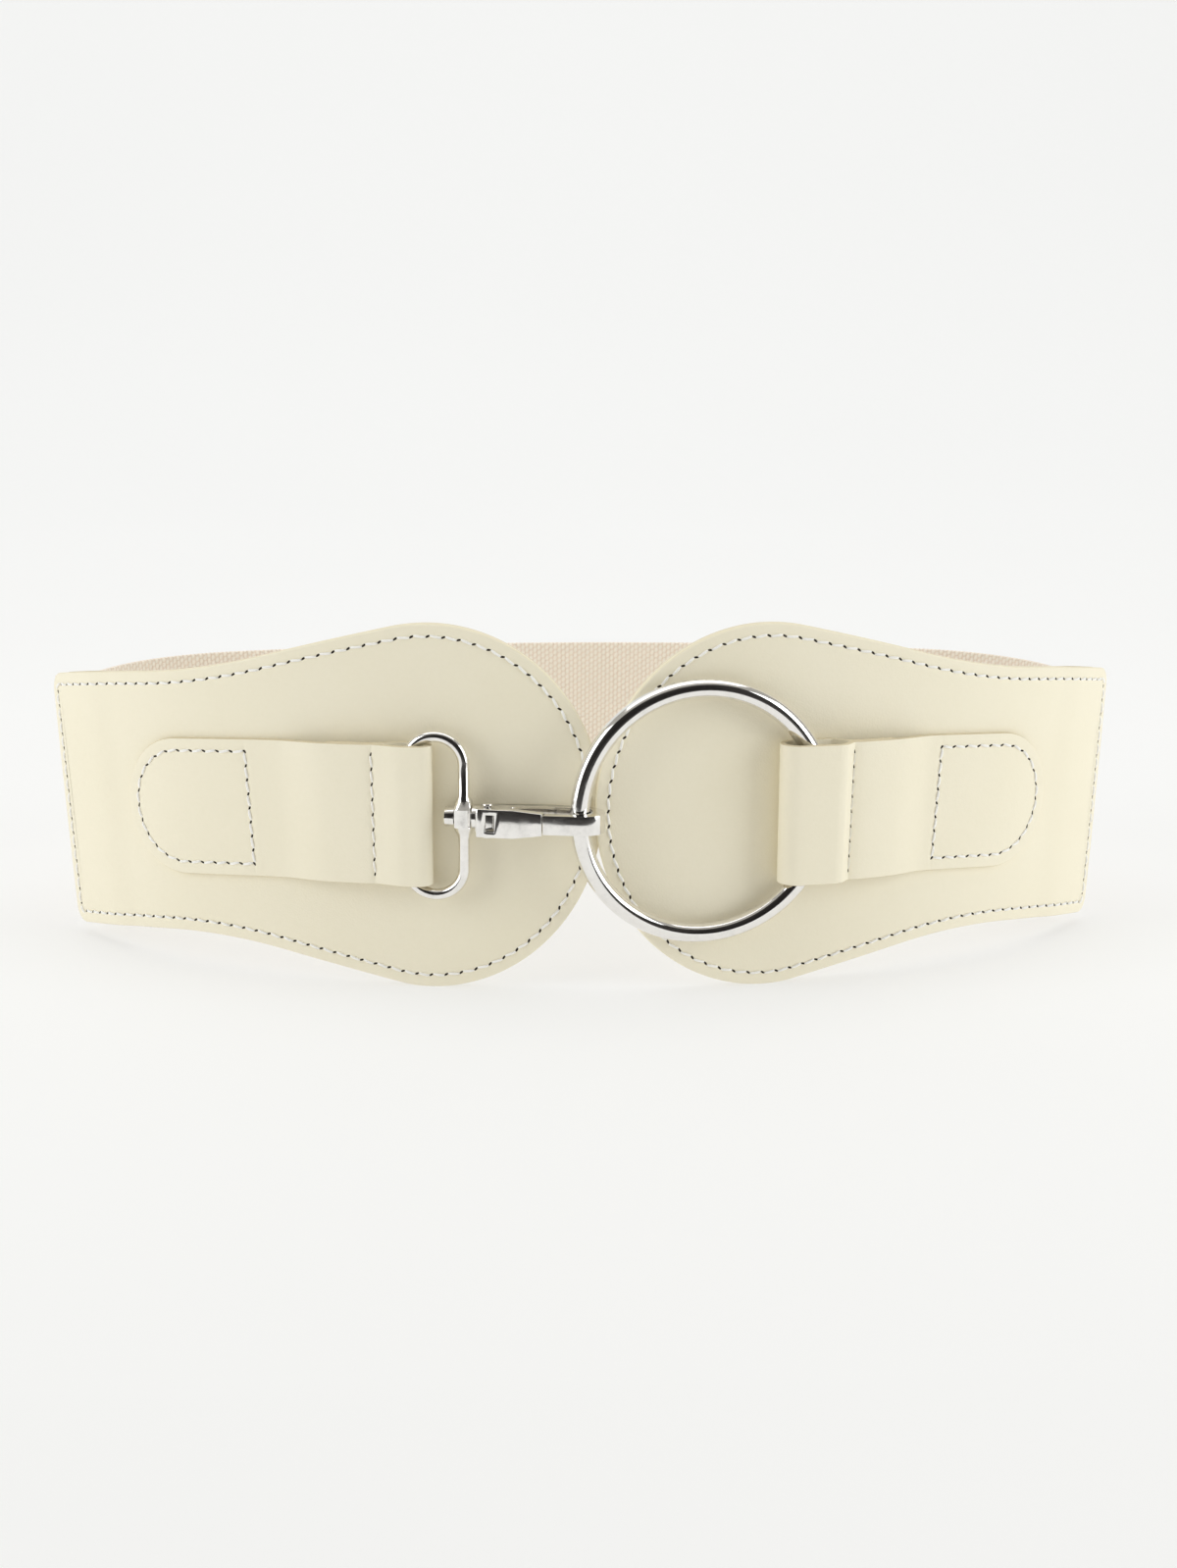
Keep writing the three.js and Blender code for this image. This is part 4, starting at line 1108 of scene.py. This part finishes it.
CENTRE = (0, -0.03, 0.05)
soft_light("left_light", (-0.95, -0.42, 0.42), CENTRE, 0.6, 0.9, 4.4, (0.95, 0.98, 1.0))
soft_light("right_light", (0.95, -0.46, 0.32), CENTRE, 0.6, 0.9, 5.2, (0.95, 0.98, 1.0))
soft_light("top_light", (0, 0.1, 1.15), CENTRE, 1.5, 0.9, 5.0)
world = bpy.data.worlds.new("studio_air")
bpy.context.scene.world = world
world.use_nodes = True
world.node_tree.nodes["Background"].inputs["Color"].default_value = (1.0, 0.975, 0.91, 1.0)
world.node_tree.nodes["Background"].inputs["Strength"].default_value = 0.42
bpy.ops.object.select_all(action="DESELECT")
bpy.ops.mesh.primitive_grid_add(x_subdivisions=4, y_subdivisions=4, size=1, rotation=(math.pi / 2, 0, 0),
                                location=(0, -1.1, 0.35))
dark_wall = bpy.context.object
dark_wall.name = "dark_wall"
dark_wall.scale = (1.0, 0.9, 1)
bpy.ops.object.transform_apply(location=True, rotation=True, scale=True)
dark_finish, tree, shader, coordinates = new_finish("dark_wall_finish")
cloth = noise(tree, coordinates.outputs["Object"], 4, 1)
dark_tone = blend_colours(tree, cloth, colour(40, 37, 36), colour(54, 50, 48))
tree.links.new(dark_tone, shader.inputs["Base Color"])
shader.inputs["Roughness"].default_value = 1.0
dark_wall.data.materials.append(dark_finish)
dark_wall.visible_camera = False
dark_wall.visible_shadow = False

DARK_FLOOR_START = 0.30
DARK_FLOOR_RUN = 0.8
DARK_RUN = 2.2
bpy.ops.object.select_all(action="DESELECT")
bpy.ops.mesh.primitive_grid_add(x_subdivisions=2, y_subdivisions=24, size=1, location=(0, 0, 0))
dark_room = bpy.context.object
dark_room.name = "dark_room"
for vertex in dark_room.data.vertices:
    run = DARK_RUN * (vertex.co.y + 0.5)
    vertex.co.x *= 0.7 + 1.9 * min(1.0, run / DARK_FLOOR_RUN)
    vertex.co.y = -DARK_FLOOR_START - min(run, DARK_FLOOR_RUN)
    vertex.co.z = 0.002 + max(0.0, run - DARK_FLOOR_RUN)
pick(dark_room)
bpy.ops.object.mode_set(mode="EDIT")
bpy.ops.mesh.select_all(action="SELECT")
bpy.ops.mesh.normals_make_consistent(inside=False)
bpy.ops.object.mode_set(mode="OBJECT")
dark_room.data.materials.append(dark_finish)
dark_room.visible_camera = False
dark_room.visible_shadow = False
dark_room.visible_diffuse = False

# Camera.
# It stands a little above the belt and a little to the left, as the photographer's did.
CAMERA_TILT = math.radians(12.61)
CAMERA_TURN = math.radians(-2.89)
CAMERA_ROLL = math.radians(0.21)
CAMERA_DISTANCE = 637 * MM
CAMERA_AIM = Vector((-2.7 * MM, BELT_FRONT_Y, 55.2 * MM))
FOCAL_PIXELS = 2500
IMAGE_HEIGHT = 1599
lens = bpy.data.cameras.new("photo_camera")
lens.sensor_width = 36
lens.lens = 36 * FOCAL_PIXELS / IMAGE_HEIGHT
lens.clip_start = 0.01
camera = placed("photo_camera", lens)
back = Vector((math.sin(CAMERA_TURN) * math.cos(CAMERA_TILT), -math.cos(CAMERA_TURN) * math.cos(CAMERA_TILT),
               math.sin(CAMERA_TILT)))
camera.location = CAMERA_AIM + back * CAMERA_DISTANCE
camera.rotation_euler = ((-back).to_track_quat("-Z", "Y") @ Quaternion((0, 0, 1), CAMERA_ROLL)).to_euler()
bpy.context.scene.camera = camera
bpy.context.scene.view_settings.view_transform = "Standard"
bpy.context.scene.view_settings.look = "None"
